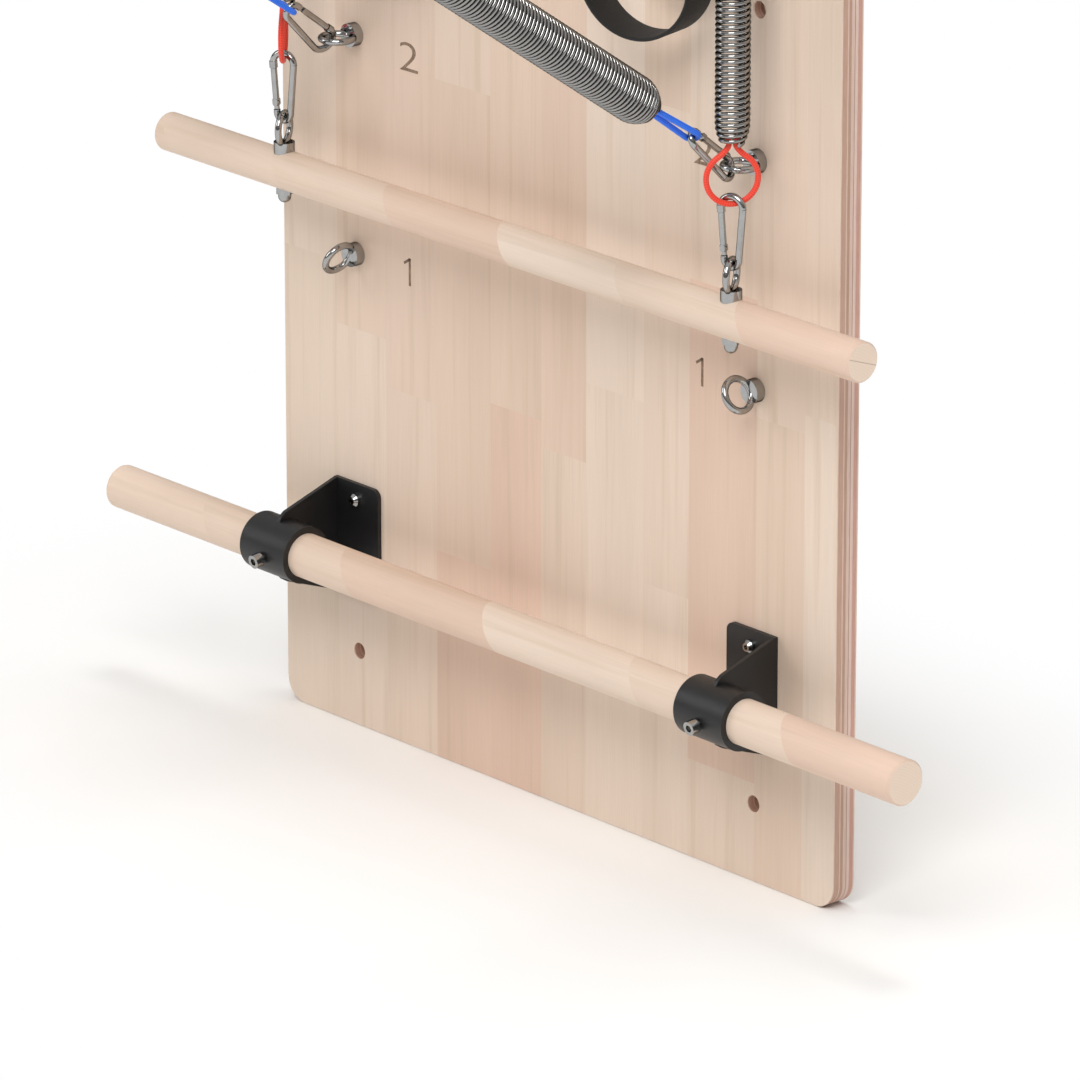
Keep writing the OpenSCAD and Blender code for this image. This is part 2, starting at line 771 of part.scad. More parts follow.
module hook() {
    color("silver") difference() {
        union() {
            translate([wide_mid[0], 0, wide_mid[1]])
                arc_xz(hook_wide_r, hook_wire, hook_tilt, 180 - hook_tilt);
            translate([slim_mid[0], 0, slim_mid[1]])
                arc_xz(hook_slim_r, hook_wire, 180 - hook_tilt, 360 + hook_tilt);
            rod_xz(slim_mid + hook_slim_r * hook_side,
                wide_mid + hook_wide_r * hook_side, hook_wire);
            rod_xz(gate_end, gate_high + gate_way, hook_wire + nose_collar);
            rod_xz(gate_low, gate_low + 1.5 * gate_way, hook_wire);
            translate([gate_low[0], 0, gate_low[1]]) rotate([0, -hook_tilt, 0])
                translate([0.4 - eye_d / 2, -gate_tongue / 2, 0.7])
                    cube([eye_d - 0.8, gate_tongue, gate_pivot - 0.7]);
            translate([gate_axis[0], 0, gate_axis[1]]) rotate([90, 0, 0])
                cylinder(d = eye_d, h = gate_tongue, center = true);
        }
        translate([gate_axis[0], 0, gate_axis[1]]) rotate([90, 0, 0])
            cylinder(d = gate_pin_d + 2 * run_fit, h = 2 * hook_wire, center = true);
    }
}

module gate() {
    slot = gate_tongue + 2 * bolt_fit;
    l = norm(gate_end - gate_axis) - seat - thin;
    color("silver") translate([gate_axis[0], 0, gate_axis[1]])
        rotate([0, -hook_tilt, 0]) {
            difference() {
                union() {
                    rotate([90, 0, 0]) cylinder(d = eye_d, h = gate_d, center = true);
                    translate([-eye_d / 2, -gate_d / 2, 0]) cube([eye_d, gate_d, 4]);
                    translate([0, 0, 3.2]) cylinder(d = gate_d, h = l - 3.2);
                }
                translate([-eye_d, -slot / 2, -eye_d])
                    cube([2 * eye_d, slot, 1.5 * eye_d + seat]);
            }
            rotate([90, 0, 0]) cylinder(d = gate_pin_d, h = gate_d, center = true);
        }
}

module at_red_top(s) {
    translate([s * chain_x, chain_y, hang_z]) children();
}

module at_red_low(s) {
    translate([s * chain_x, chain_y, low_hook_top])
        rotate([0, 0, lower_hook_turn]) children();
}

module at_blue_near(s) {
    translate([s * col_x, near_top[0], near_top[1]])
        rotate([-90 - near_hook_rise, 0, 0]) rotate([0, 0, 90 - near_turn(s)]) children();
}

module at_blue_far(s) {
    translate([s * col_x, far_top[0], far_top[1]])
        rotate([90 - blue_rise, 0, 0]) rotate([0, 0, -90]) children();
}

module red_hook_upper_left() {
    at_red_top(-1) hook();
}

module red_hook_upper_right() {
    at_red_top(1) hook();
}

module red_hook_lower_left() {
    at_red_low(-1) hook();
}

module red_hook_lower_right() {
    at_red_low(1) hook();
}

module red_gate_upper_left() {
    at_red_top(-1) gate();
}

module red_gate_upper_right() {
    at_red_top(1) gate();
}

module red_gate_lower_left() {
    at_red_low(-1) gate();
}

module red_gate_lower_right() {
    at_red_low(1) gate();
}

module blue_hook_near_left() {
    at_blue_near(-1) hook();
}

module blue_hook_near_right() {
    at_blue_near(1) hook();
}

module blue_hook_far_left() {
    at_blue_far(-1) hook();
}

module blue_hook_far_right() {
    at_blue_far(1) hook();
}

module blue_gate_near_left() {
    at_blue_near(-1) gate();
}

module blue_gate_near_right() {
    at_blue_near(1) gate();
}

module blue_gate_far_left() {
    at_blue_far(-1) gate();
}

module blue_gate_far_right() {
    at_blue_far(1) gate();
}

// Push-through bar

knuckle_l = ptb_arm_d + 1;
cheek_in = knuckle_l / 2 + seat;
ptb_collar_d = ptb_bar_d + 2 * bolt_fit + 2 * collar_wall;

module ptb_arm(s) {
    color("dimgray") translate([s * ptb_x, ptb_y, ptb_z]) rotate([ptb_rest, 0, 0])
        difference() {
            union() {
                rod_x(ptb_knuckle_d, knuckle_l);
                rotate([90, 0, 0]) cylinder(d = ptb_arm_d, h = ptb_arm_l);
                translate([0, -ptb_arm_l, 0]) rod_x(ptb_collar_d, ptb_collar_l);
            }
            rod_x(ptb_pin_d + 2 * run_fit, knuckle_l + 2);
            translate([0, -ptb_arm_l, 0]) rod_x(ptb_bar_d + 2 * bolt_fit, ptb_collar_l + 2);
        }
}

module ptb_arm_left() {
    ptb_arm(-1);
}

module ptb_arm_right() {
    ptb_arm(1);
}

module at_ptb(s) {
    translate([s * col_x, ptb_bar[0], ptb_bar[1]])
        rotate([-90 - blue_rise, 0, 0]) children();
}

module ptb_crossbar() {
    color("wheat") difference() {
        translate([0, ptb_bar[0], ptb_bar[1]]) bar_x(ptb_bar_d, ptb_bar_l);
        for (s = sides) at_ptb(s) bar_bore(ptb_bar_d);
    }
}

module ptb_eyes() {
    color("silver") for (s = sides) at_ptb(s) {
        bar_eye(ptb_bar_d);
        bar_eye_shank(ptb_bar_d);
    }
}

module ptb_dome_nuts() {
    color("silver") for (s = sides) at_ptb(s) dome_nut(ptb_bar_d);
}

// the stop bar under the resting arm, as [y, z] from the pivot
stop_off = ptb_arm_d / 2 + ptb_stop_d / 2 + seat;
ptb_stop = ptb_stop_l * dir(-ptb_rest) + stop_off * [sin(ptb_rest), -cos(ptb_rest)];

module ptb_cheek() {
    r = ptb_knuckle_d / 2;
    q = ptb_stop_d / 2 + 5;
    foot = front_y - ptb_y;
    difference() {
        union() {
            circle(r = r);
            translate(ptb_stop) circle(r = q);
            polygon([[foot, 55], [foot - 6, 55], [-r * 0.5, r * 0.866],
                [-r, 0], [ptb_stop[0] - q, ptb_stop[1]],
                [ptb_stop[0], ptb_stop[1] - q], [foot - 6, -62], [foot, -62]]);
        }
        circle(d = ptb_pin_d + 2 * run_fit);
    }
}

module ptb_bracket(s) {
    h = ptb_plate_h / 2;
    w = cheek_in + steel_t;
    color("dimgray") {
        difference() {
            translate([s * ptb_x - w, front_y - steel_t, ptb_z - h])
                cube([2 * w, steel_t, 2 * h]);
            for (t = sides)
                hole_y(s * ptb_x, ptb_z + t * (h - plate_screw_in),
                    screw_d + 2 * bolt_fit, -board_t, 0);
        }
        for (t = sides)
            translate([s * ptb_x + t * (cheek_in + steel_t / 2) - steel_t / 2,
                ptb_y, ptb_z])
                rotate([90, 0, 90]) linear_extrude(height = steel_t) ptb_cheek();
        translate([s * ptb_x, ptb_y + ptb_stop[0], ptb_z + ptb_stop[1]])
            rod_x(ptb_stop_d, 2 * cheek_in + steel_t);
    }
}

module ptb_bracket_left() {
    ptb_bracket(-1);
}

module ptb_bracket_right() {
    ptb_bracket(1);
}

module ptb_pivot_pins() {
    w = cheek_in + steel_t;
    color("silver") for (s = sides)
        translate([s * ptb_x, ptb_y, ptb_z]) {
            rod_x(ptb_pin_d, 2 * w + 2 * seat);
            for (t = sides)
                translate([t * (w + seat + 1.5), 0, 0]) rod_x(1.7 * ptb_pin_d, 3);
        }
}

// Spring hangers

module spring_hanger(s) {
    hole_z = hang_z + hanger_hole_d / 2 - hook_wire / 2 - seat;
    z0 = hang_z - hanger_tip_r;
    z1 = z0 + hanger_plate_h;
    color("dimgray") difference() {
        union() {
            wall_plate(s * (chain_x - steel_t / 2 + hanger_plate_w),
                s * (chain_x - steel_t / 2), z0, z1,
                [s * (chain_x + hanger_plate_w - plate_screw_side + steel_t)],
                [z0 + plate_screw_in, z1 - plate_screw_in]);
            web_yz(s * chain_x, steel_t, [
                [0, z1], [4, z1],
                [chain_out + hanger_tip_r * 0.6, hole_z + hanger_tip_r * 0.8],
                [chain_out, hole_z], [chain_out, hole_z - hanger_tip_r], [0, z0]]);
            translate([s * chain_x, chain_y, hole_z]) rod_x(2 * hanger_tip_r, steel_t);
        }
        translate([s * chain_x, chain_y, hole_z]) rod_x(hanger_hole_d, 2 * steel_t);
    }
}

module spring_hanger_left() {
    spring_hanger(-1);
}

module spring_hanger_right() {
    spring_hanger(1);
}

module upper_screws() {
    color("silver")
        for (p = concat(hanger_screws, ptb_screws))
            translate([p[0], front_y, p[1]]) plate_screw();
}

// Strap loops on pegs

module strap_pegs() {
    b = web_out - web_w / 2 - 2;
    color("dimgray") for (s = sides)
        translate([s * strap_x, front_y, peg_z]) rotate([90, 0, 0]) {
            cylinder(d = peg_knob_d, h = 5);
            cylinder(d = peg_d, h = b + web_w + 6);
            translate([0, 0, b - 4]) cylinder(d = peg_knob_d, h = 4);
            translate([0, 0, b + web_w + 4]) cylinder(d = peg_knob_d, h = 7);
        }
}

// outline of a loop: an arc at the bottom, an arc over the peg and straight runs
function strap_line(grow) =
    let (r0 = strap_r + grow, r1 = peg_d / 2 + seat + grow,
        l = peg_z - strap_low - strap_r - web_t, a = asin((r0 - r1) / l))
    concat(
        [for (i = [0:16]) let (t = a + (180 - 2 * a) * i / 16) r1 * [cos(t), sin(t)]],
        [for (i = [0:48]) let (t = 180 - a + (180 + 2 * a) * i / 48)
            [r0 * cos(t), r0 * sin(t) - l]]);

module strap(s) {
    color("dimgray") translate([s * strap_x, web_y, peg_z])
        rotate([90, 0, 0]) linear_extrude(height = web_w, center = true)
            difference() {
                polygon(strap_line(web_t));
                polygon(strap_line(0));
            }
}

module strap_left() {
    strap(-1);
}

module strap_right() {
    strap(1);
}

board();
eye_bolts_left();
eye_bolts_right();
eye_nuts();
foot_bar();
foot_bracket_left();
foot_bracket_right();
bracket_screws();
clamp_screws();
roll_down_bar();
bar_eye_left();
bar_eye_right();
bar_dome_nuts();
red_spring_left();
red_spring_right();
red_loops_upper();
red_loops_lower();
red_hook_upper_left();
red_hook_upper_right();
red_hook_lower_left();
red_hook_lower_right();
red_gate_upper_left();
red_gate_upper_right();
red_gate_lower_left();
red_gate_lower_right();
blue_spring_left();
blue_spring_right();
blue_loops_near();
blue_loops_far();
blue_hook_near_left();
blue_hook_near_right();
blue_hook_far_left();
blue_hook_far_right();
blue_gate_near_left();
blue_gate_near_right();
blue_gate_far_left();
blue_gate_far_right();
ptb_arm_left();
ptb_arm_right();
ptb_crossbar();
ptb_eyes();
ptb_dome_nuts();
ptb_bracket_left();
ptb_bracket_right();
ptb_pivot_pins();
spring_hanger_left();
spring_hanger_right();
upper_screws();
strap_pegs();
strap_left();
strap_right();
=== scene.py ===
# Wall tower for spring exercise: the looks of its beech, steel, springs, cords and webbing.

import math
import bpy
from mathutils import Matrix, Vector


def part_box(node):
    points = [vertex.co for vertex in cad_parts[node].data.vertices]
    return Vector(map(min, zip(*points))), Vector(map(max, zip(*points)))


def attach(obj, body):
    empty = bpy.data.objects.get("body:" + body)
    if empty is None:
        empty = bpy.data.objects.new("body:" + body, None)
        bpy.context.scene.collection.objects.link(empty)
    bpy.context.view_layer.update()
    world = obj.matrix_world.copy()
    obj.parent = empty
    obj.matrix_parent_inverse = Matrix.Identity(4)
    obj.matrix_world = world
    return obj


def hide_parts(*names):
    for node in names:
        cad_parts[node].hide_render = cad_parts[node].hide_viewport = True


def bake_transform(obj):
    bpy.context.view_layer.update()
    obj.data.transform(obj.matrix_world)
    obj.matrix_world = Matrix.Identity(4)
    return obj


bl_info = {
    "name": "Spring wall tower",
    "version": (1, 0, 0),
    "blender": (4, 5, 0),
    "location": "3D View > Sidebar > Tower",
    "description": "Dresses a wall tower: springs, cords, straps, finishes and studio",
    "category": "Add Mesh",
}

import bpy
from bpy.props import FloatProperty, FloatVectorProperty, IntProperty, PointerProperty
from mathutils import Matrix, Vector
from mathutils.kdtree import KDTree

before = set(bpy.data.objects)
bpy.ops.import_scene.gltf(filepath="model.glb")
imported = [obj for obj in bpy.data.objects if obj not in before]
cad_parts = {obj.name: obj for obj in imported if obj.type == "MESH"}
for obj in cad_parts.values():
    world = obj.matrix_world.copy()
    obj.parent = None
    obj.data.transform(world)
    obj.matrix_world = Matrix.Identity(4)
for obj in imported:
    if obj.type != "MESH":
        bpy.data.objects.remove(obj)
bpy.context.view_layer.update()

# Places that the source of the part gives, in metres. The two sides of the
# tower are -1, left, and 1, right.
SIDES = (-1, 1)
SIDE_NAME = {-1: "left", 1: "right"}
FRONT_Y, BOARD_THICK, BOARD_EDGE_X = -0.012, 0.024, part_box("board")[1][0]
# the two columns of eye bolts, and the heights of their rows
COLUMN_X = 0.26
ROW_Z = [0.44 + 0.2 * k for k in range(8)]
# the upright springs: axis, ends, and the middles and turns of their cord loops
CHAIN_X, CHAIN_Y = 0.29, -0.069
RED_LOW, RED_TOP = 0.6705, 1.5155
LOW_LOOP_MID, TOP_LOOP_MID = 0.6425, 1.5435
LOOP_TURN = {-1: -45, 1: 60}
# the slanting springs: both ends, their slope, and the middles of their loops
BLUE_TIP = Vector((0, -0.132004, 0.706518))
BLUE_END = Vector((0, -0.483075, 0.948609))
BLUE_RISE = math.radians(34.5892)
NEAR_LOW = Vector((0, -0.087650, 0.676601))
NEAR_LOOP_RISE = math.radians(34)
NEAR_TURN = {-1: -15, 1: 30}
FAR_LOW = Vector((0, -0.527119, 0.978980))
# the straps: their pegs, the lowest point of the loops, the peg's radius with the
# webbing's room round it, and the height over which a hanging loop turns
STRAP_X, WEB_Y, PEG_Z, STRAP_LOW = 0.165, -0.054, 1.1, 0.735
PEG_ROUND, TURN_LENGTH = 0.0093, 0.36
# the digits stand beside the columns, a little lower than the eyes
DIGIT_X = {-1: -0.1885, 1: 0.192}
FIRST_DROP, NEXT_DROP = 0.0004, 0.0058
# a point on each bar's axis, from which its glued blocks are counted, and the
# length of a block
FOOT_BAR, FOOT_BLOCK = (0, -0.076, 0.175), 0.19
ROLL_BAR, ROLL_BLOCK = (0.01, -0.069, 0.5213), 0.15
PUSH_BAR, PUSH_BLOCK = (0.02, -0.6141, 1.039), 0.17

# The camera of the photograph, with its turn in degrees and its lens in mm
EYE, EYE_TURN, EYE_LENS = (5.71233, -5.01983, 2.81848), (71.256, 0, 48.839), 309.14
# Studio lights: name, place, what it faces, size in metres, watts
LIGHTS = (
    ("front_light", (2.4, -3.4, 4.6), (0, 0, 0.5), (3.0, 3.0), 205),
    ("left_light", (-3.4, -3.4, 2.6), (0, 0, 0.6), (1.2, 2.6), 40),
    ("top_light", (0, 0.4, 5.5), (0, 0.2, 0), (1.2, 0.8), 55),
)
# The pale surround, from the horizon to overhead, and its strength
SURROUND = ((0.0, "#6E6D6C"), (0.3, "#A3A2A0"), (0.75, "#FFFFFF"))
SURROUND_STRENGTH = 0.68

# Tones that go with the colours a user may change
STREAK_TONE, FLECK_TONE = "#BCA586", "#AF9078"
END_TONE, RING_TONE, GLUE_TONE = "#F3DFCE", "#E4C9B0", "#9C7D67"
CHAR_TONE, SCORCH_TONE = "#6B5342", "#B59A80"
PAPER_TONES = "#F6F5F3", "#F8F7F5"


def mm(value):
    return value / 1000


# Properties


def size_prop(name, about, default, low=0.1, high=500.0):
    """A size in millimetres that a user may change."""
    return FloatProperty(name=name, description=about, default=default, min=low, max=high)


def colour_prop(name, about, code):
    """An sRGB colour, given as a hex value."""
    parts = [int(code[i:i + 2], 16) / 255 for i in (1, 3, 5)]
    return FloatVectorProperty(name=name, description=about, default=parts, size=3,
                               min=0.0, max=1.0, subtype="COLOR_GAMMA")


class TowerSizes(bpy.types.PropertyGroup):
    red_wire: size_prop("Long spring wire (mm)", "Wire of the two upright springs", 3.7)
    red_outer: size_prop("Long spring diameter (mm)", "Outer size of the upright springs", 30)
    red_tip: size_prop("Long spring tip (mm)", "Outer diameter at their ends", 19)
    red_taper: size_prop("Long spring taper (mm)", "Length over which they narrow", 20)
    red_turns: IntProperty(name="Long spring turns", description="Coils of an upright spring",
                           default=171, min=20, max=200)
    blue_wire: size_prop("Short spring wire (mm)", "Wire of the two slanting springs", 3.4)
    blue_outer: size_prop("Short spring diameter (mm)", "Outer size of the slanting ones", 41.6)
    blue_tip: size_prop("Short spring tip (mm)", "Outer diameter at their ends", 22)
    blue_taper: size_prop("Short spring taper (mm)", "Length over which they narrow", 24)
    blue_turns: IntProperty(name="Short spring turns", description="Coils of a slanting spring",
                            default=96, min=20, max=160)
    red_cord: size_prop("Red cord (mm)", "Diameter of the upright springs' loops", 5)
    red_loop: size_prop("Red loop radius (mm)", "Radius of a red loop's round part", 22)
    blue_cord: size_prop("Blue cord (mm)", "Diameter of the slanting springs' loops", 5.25)
    web_width: size_prop("Webbing width (mm)", "Width of the strap loops", 38)
    web_thick: size_prop("Webbing thickness (mm)", "Thickness of the strap loops", 3)
    strap_round: size_prop("Strap radius (mm)", "Inner radius of the strap's bottom bend", 56)
    strap_turn: size_prop("Strap turn (degrees)", "How far a hanging loop turns", 14, 0, 30)
    digit_height: size_prop("Digit height (mm)", "Height of the burnt row numbers", 27)
    stave_width: size_prop("Stave width (mm)", "Width of the panel's glued staves", 68)
    stave_length: size_prop("Stave length (mm)", "Usual length of a stave piece", 430, 50, 2000)


class TowerColours(bpy.types.PropertyGroup):
    beech_light: colour_prop("Light beech", "Palest staves", "#E5D4C4")
    beech_mid: colour_prop("Beech", "Usual staves", "#DEC7B4")
    beech_pink: colour_prop("Pink beech", "Steamed, pinkish staves", "#DCBFAC")
    beech_dark: colour_prop("Dark beech", "Darkest staves and streaks", "#D3B99F")
    red_cord: colour_prop("Red cord", "Cord of the upright springs", "#EE402A")
    blue_cord: colour_prop("Blue cord", "Cord of the slanting springs", "#2474F8")
    powder: colour_prop("Black coat", "Powder coat of brackets and arms", "#151516")
    webbing: colour_prop("Webbing", "Cotton and nylon webbing", "#171513")
    bright: colour_prop("Bright zinc", "Plated hooks, eyes and screws", "#B2B2B1")
    wire: colour_prop("Spring wire", "Nickel-plated spring steel", "#A2A19F")
    burn: colour_prop("Burnt digit", "Scorched wood of the row numbers", "#8A7462")


# Helpers


def alone():
    if bpy.context.object and bpy.context.object.mode != "OBJECT":
        bpy.ops.object.mode_set(mode="OBJECT")
    bpy.ops.object.select_all(action="DESELECT")


def pick(*objs):
    alone()
    for o in objs:
        o.select_set(True)
    bpy.context.view_layer.objects.active = objs[0]
    return objs[0]


def settle(obj, matrix=None):
    """Puts the object's place into its mesh, so that it sits at the origin."""
    if matrix is not None:
        obj.matrix_world = matrix
    pick(obj)
    bpy.ops.object.transform_apply(location=True, rotation=True, scale=True)
    return obj


def apply_all(obj):
    pick(obj)
    for m in list(obj.modifiers):
        bpy.ops.object.modifier_apply(modifier=m.name)
    return obj


def in_edit(obj, *steps):
    """Runs steps of edit mode on the whole mesh, each with everything selected."""
    pick(obj)
    bpy.ops.object.mode_set(mode="EDIT")
    bpy.ops.mesh.select_mode(type="VERT")
    for step in steps:
        bpy.ops.mesh.select_all(action="SELECT")
        step()
    bpy.ops.object.mode_set(mode="OBJECT")


def merge():
    bpy.ops.mesh.remove_doubles(threshold=1e-6)


def close_ends():
    bpy.ops.mesh.fill_holes(sides=0)


def face_out():
    bpy.ops.mesh.normals_make_consistent(inside=False)


def tidy_shell(obj, angle):
    """Merges doubles, closes open ends, points the faces out and smooths."""
    in_edit(obj, merge, close_ends, face_out)
    bpy.ops.object.shade_smooth_by_angle(angle=math.radians(angle))


def finish_piece(obj, name, material, body=None, replaces=()):
    obj.name = name
    obj.data.name = name
    obj.data.materials.clear()
    obj.data.materials.append(material)
    if body:
        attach(obj, body)
    if replaces:
        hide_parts(*replaces)
    return obj


def drawn(name, points, closed=False, **shape):
    """A line through points, with a bevel or a width, made a mesh."""
    curve = bpy.data.curves.new(name, "CURVE")
    curve.dimensions = "3D"
    for key, value in shape.items():
        setattr(curve, key, value)
    line = curve.splines.new("POLY")
    line.points.add(len(points) - 1)
    for p, q in zip(line.points, points):
        p.co = (*q, 1)
    line.use_cyclic_u = closed
    obj = bpy.data.objects.new(name, curve)
    bpy.context.scene.collection.objects.link(obj)
    pick(obj)
    bpy.ops.object.convert(target="MESH")
    return bpy.context.object


def tube(name, points, diameter, sides):
    """A round cord along points, as a mesh whose UV map runs along and round it."""
    obj = drawn(name, points, bevel_depth=diameter / 2, bevel_resolution=sides // 2 - 2,
                use_fill_caps=True)
    tidy_shell(obj, 60)
    wrap_uv(obj, points)
    return obj


def wrap_uv(obj, points):
    """UV map in metres: U runs along the points, V round them."""
    tree, far = KDTree(len(points)), [0.0]
    frames, across = [], None
    for i, p in enumerate(points):
        tree.insert(p, i)
        if i:
            far.append(far[-1] + (p - points[i - 1]).length)
        way = (points[min(i + 1, len(points) - 1)] - points[max(i - 1, 0)]).normalized()
        if across is None:
            across = way.orthogonal().normalized()
        across = (across - across.dot(way) * way).normalized()
        frames.append((way, across.copy(), way.cross(across)))
    tree.balance()
    spot = []
    for v in obj.data.vertices:
        _, i, _ = tree.find(v.co)
        way, a, b = frames[i]
        off = v.co - points[i]
        spot.append((far[i] + off.dot(way), math.atan2(off.dot(b), off.dot(a))))
    layer = obj.data.uv_layers.active or obj.data.uv_layers.new(name="along_round")
    for face in obj.data.polygons:
        first = None
        for c in face.loop_indices:
            along, turn = spot[obj.data.loops[c].vertex_index]
            first = turn if first is None else first
            turn += 2 * math.pi * round((first - turn) / (2 * math.pi))
            layer.data[c].uv = (along, turn / (2 * math.pi))


# Materials


def linear(colour):
    """sRGB hex value or property colour to the linear colour that sockets take."""
    if isinstance(colour, str):
        colour = [int(colour[i:i + 2], 16) / 255 for i in (1, 3, 5)]
    return [c / 12.92 if c <= 0.04045 else ((c + 0.055) / 1.055) ** 2.4 for c in colour] + [1.0]


def add(tree, kind, settings, inputs):
    """Adds a shader node with its settings; an input is a value or the socket linked to it."""
    made = tree.nodes.new("ShaderNode" + kind)
    for key, value in settings.items():
        setattr(made, key, value)
    for key, value in inputs.items():
        socket = made.inputs[key]
        if isinstance(value, bpy.types.NodeSocket):
            tree.links.new(value, socket)
        else:
            socket.default_value = value
    return made


def maths(tree, operation, *values):
    return add(tree, "Math", {"operation": operation}, dict(enumerate(values))).outputs[0]


def ramp(tree, fac, stops, how="LINEAR"):
    made = add(tree, "ValToRGB", {}, {"Fac": fac})
    made.color_ramp.interpolation = how
    while len(made.color_ramp.elements) < len(stops):
        made.color_ramp.elements.new(0.5)
    for element, (at, colour) in zip(made.color_ramp.elements, stops):
        element.position = at
        element.color = colour if len(colour) == 4 else (*colour, 1)
    return made.outputs["Color"]


def mix(tree, fac, a, b, how="MIX"):
    made = add(tree, "Mix", {"data_type": "RGBA", "blend_type": how}, {0: fac, 6: a, 7: b})
    return made.outputs[2]


def stretched(tree, vector, scale, location=(0, 0, 0)):
    return add(tree, "Mapping", {}, {"Vector": vector, "Scale": scale,
                                     "Location": location}).outputs[0]


def noise(tree, vector, scale, detail=2.0, rough=0.5):
    return add(tree, "TexNoise", {}, {"Vector": vector, "Scale": scale, "Detail": detail,
                                      "Roughness": rough}).outputs["Fac"]


def grey_ramp(tree, fac, *stops):
    """A ramp between plain values, such as roughnesses."""
    return ramp(tree, fac, [(at, (value,) * 3) for at, value in stops])


def new_material(name, **principled):
    """A material with its Principled shader; constants go straight on the shader's sockets."""
    made = bpy.data.materials.new(name)
    made.use_nodes = True
    tree = made.node_tree
    shader = tree.nodes["Principled BSDF"]
    for key, value in principled.items():
        shader.inputs[key.replace("_", " ")].default_value = value
    return made, tree, shader


def bump(tree, shader, height, strength, distance):
    made = add(tree, "Bump", {}, {"Height": height, "Strength": strength, "Distance": distance})
    tree.links.new(made.outputs[0], shader.inputs["Normal"])


def beech_tone(tree, col, pick_value):
    """The tone of one glued piece of beech, from a random value."""
    stops = [(0.0, col.beech_mid), (0.3, col.beech_light), (0.5, col.beech_pink),
             (0.7, col.beech_mid), (0.85, col.beech_light), (1.0, col.beech_dark)]
    return ramp(tree, pick_value, [(at, linear(c)) for at, c in stops])


def beech_grain(tree, base, vector, shift):
    """Fibre, the short dark flecks of beech, and soft brown streaks, over a base colour.
    vector runs across, across and along the grain, in metres."""
    moved = add(tree, "VectorMath", {"operation": "ADD"}, {0: vector, 1: shift}).outputs[0]
    # clouds of tone about 60 by 300 mm, as heartwood gives
    cloud = ramp(tree, noise(tree, stretched(tree, moved, (16, 16, 3)), 1, 2, 0.5),
                 [(0.3, (0.95, 0.945, 0.935)), (0.7, (1.02, 1.02, 1.02))])
    colour = mix(tree, 1.0, base, cloud, "MULTIPLY")
    # olive-brown streaks some 12 mm wide and 400 mm long
    streak = noise(tree, stretched(tree, moved, (85, 85, 2.6)), 1, 3, 0.6)
    streak = ramp(tree, streak, [(0.54, (0, 0, 0)), (0.74, (1, 1, 1))])
    colour = mix(tree, maths(tree, "MULTIPLY", streak, 0.3), colour, linear(STREAK_TONE))
    # fibre bundles are about 1.2 mm wide and 60 mm long
    fibre = noise(tree, stretched(tree, moved, (800, 800, 16)), 1, 2, 0.6)
    shade = ramp(tree, fibre, [(0.3, (0.968, 0.962, 0.955)), (0.7, (1.012, 1.012, 1.012))])
    colour = mix(tree, 1.0, colour, shade, "MULTIPLY")
    # ray flecks of 0.6 by 3 mm
    fleck = noise(tree, stretched(tree, moved, (1500, 1500, 330)), 1, 1, 0.5)
    fleck = ramp(tree, fleck, [(0.68, (0, 0, 0)), (0.8, (1, 1, 1))])
    colour = mix(tree, maths(tree, "MULTIPLY", fleck, 0.14), colour, linear(FLECK_TONE))
    return colour, fibre


# The edge's layers, front to back: where each starts, as a share of the
# thickness, and its colour
PLIES = ((0.0, "#E3CFBF"), (0.05, "#C3A08D"), (0.28, "#DAC0B2"), (0.33, "#BB9985"),
         (0.46, "#D8BFB1"), (0.6, "#AC8874"), (0.63, "#DEC6BA"), (0.76, "#C99E8F"),
         (0.94, "#DDC6B6"))


def ply_edge(tree, spot, y):
    """The board's sawn edge: glued layers whose lines wander a little, with the
    short streaks that the saw leaves across the fibres."""
    wander = noise(tree, stretched(tree, spot.outputs["Object"], (14, 0, 14)), 1, 3, 0.6)
    depth = maths(tree, "MULTIPLY_ADD", y, 1 / BOARD_THICK, 0.5)
    depth = maths(tree, "ADD", depth, maths(tree, "MULTIPLY_ADD", wander, 0.05, -0.025))
    layers = ramp(tree, depth, [(at, linear(c)) for at, c in PLIES], "CONSTANT")
    saw = noise(tree, stretched(tree, spot.outputs["Object"], (60, 900, 60)), 1, 3, 0.65)
    shade = ramp(tree, saw, [(0.3, (0.94, 0.9, 0.89)), (0.7, (1.1, 1.08, 1.08))])
    return mix(tree, 1.0, layers, shade, "MULTIPLY")


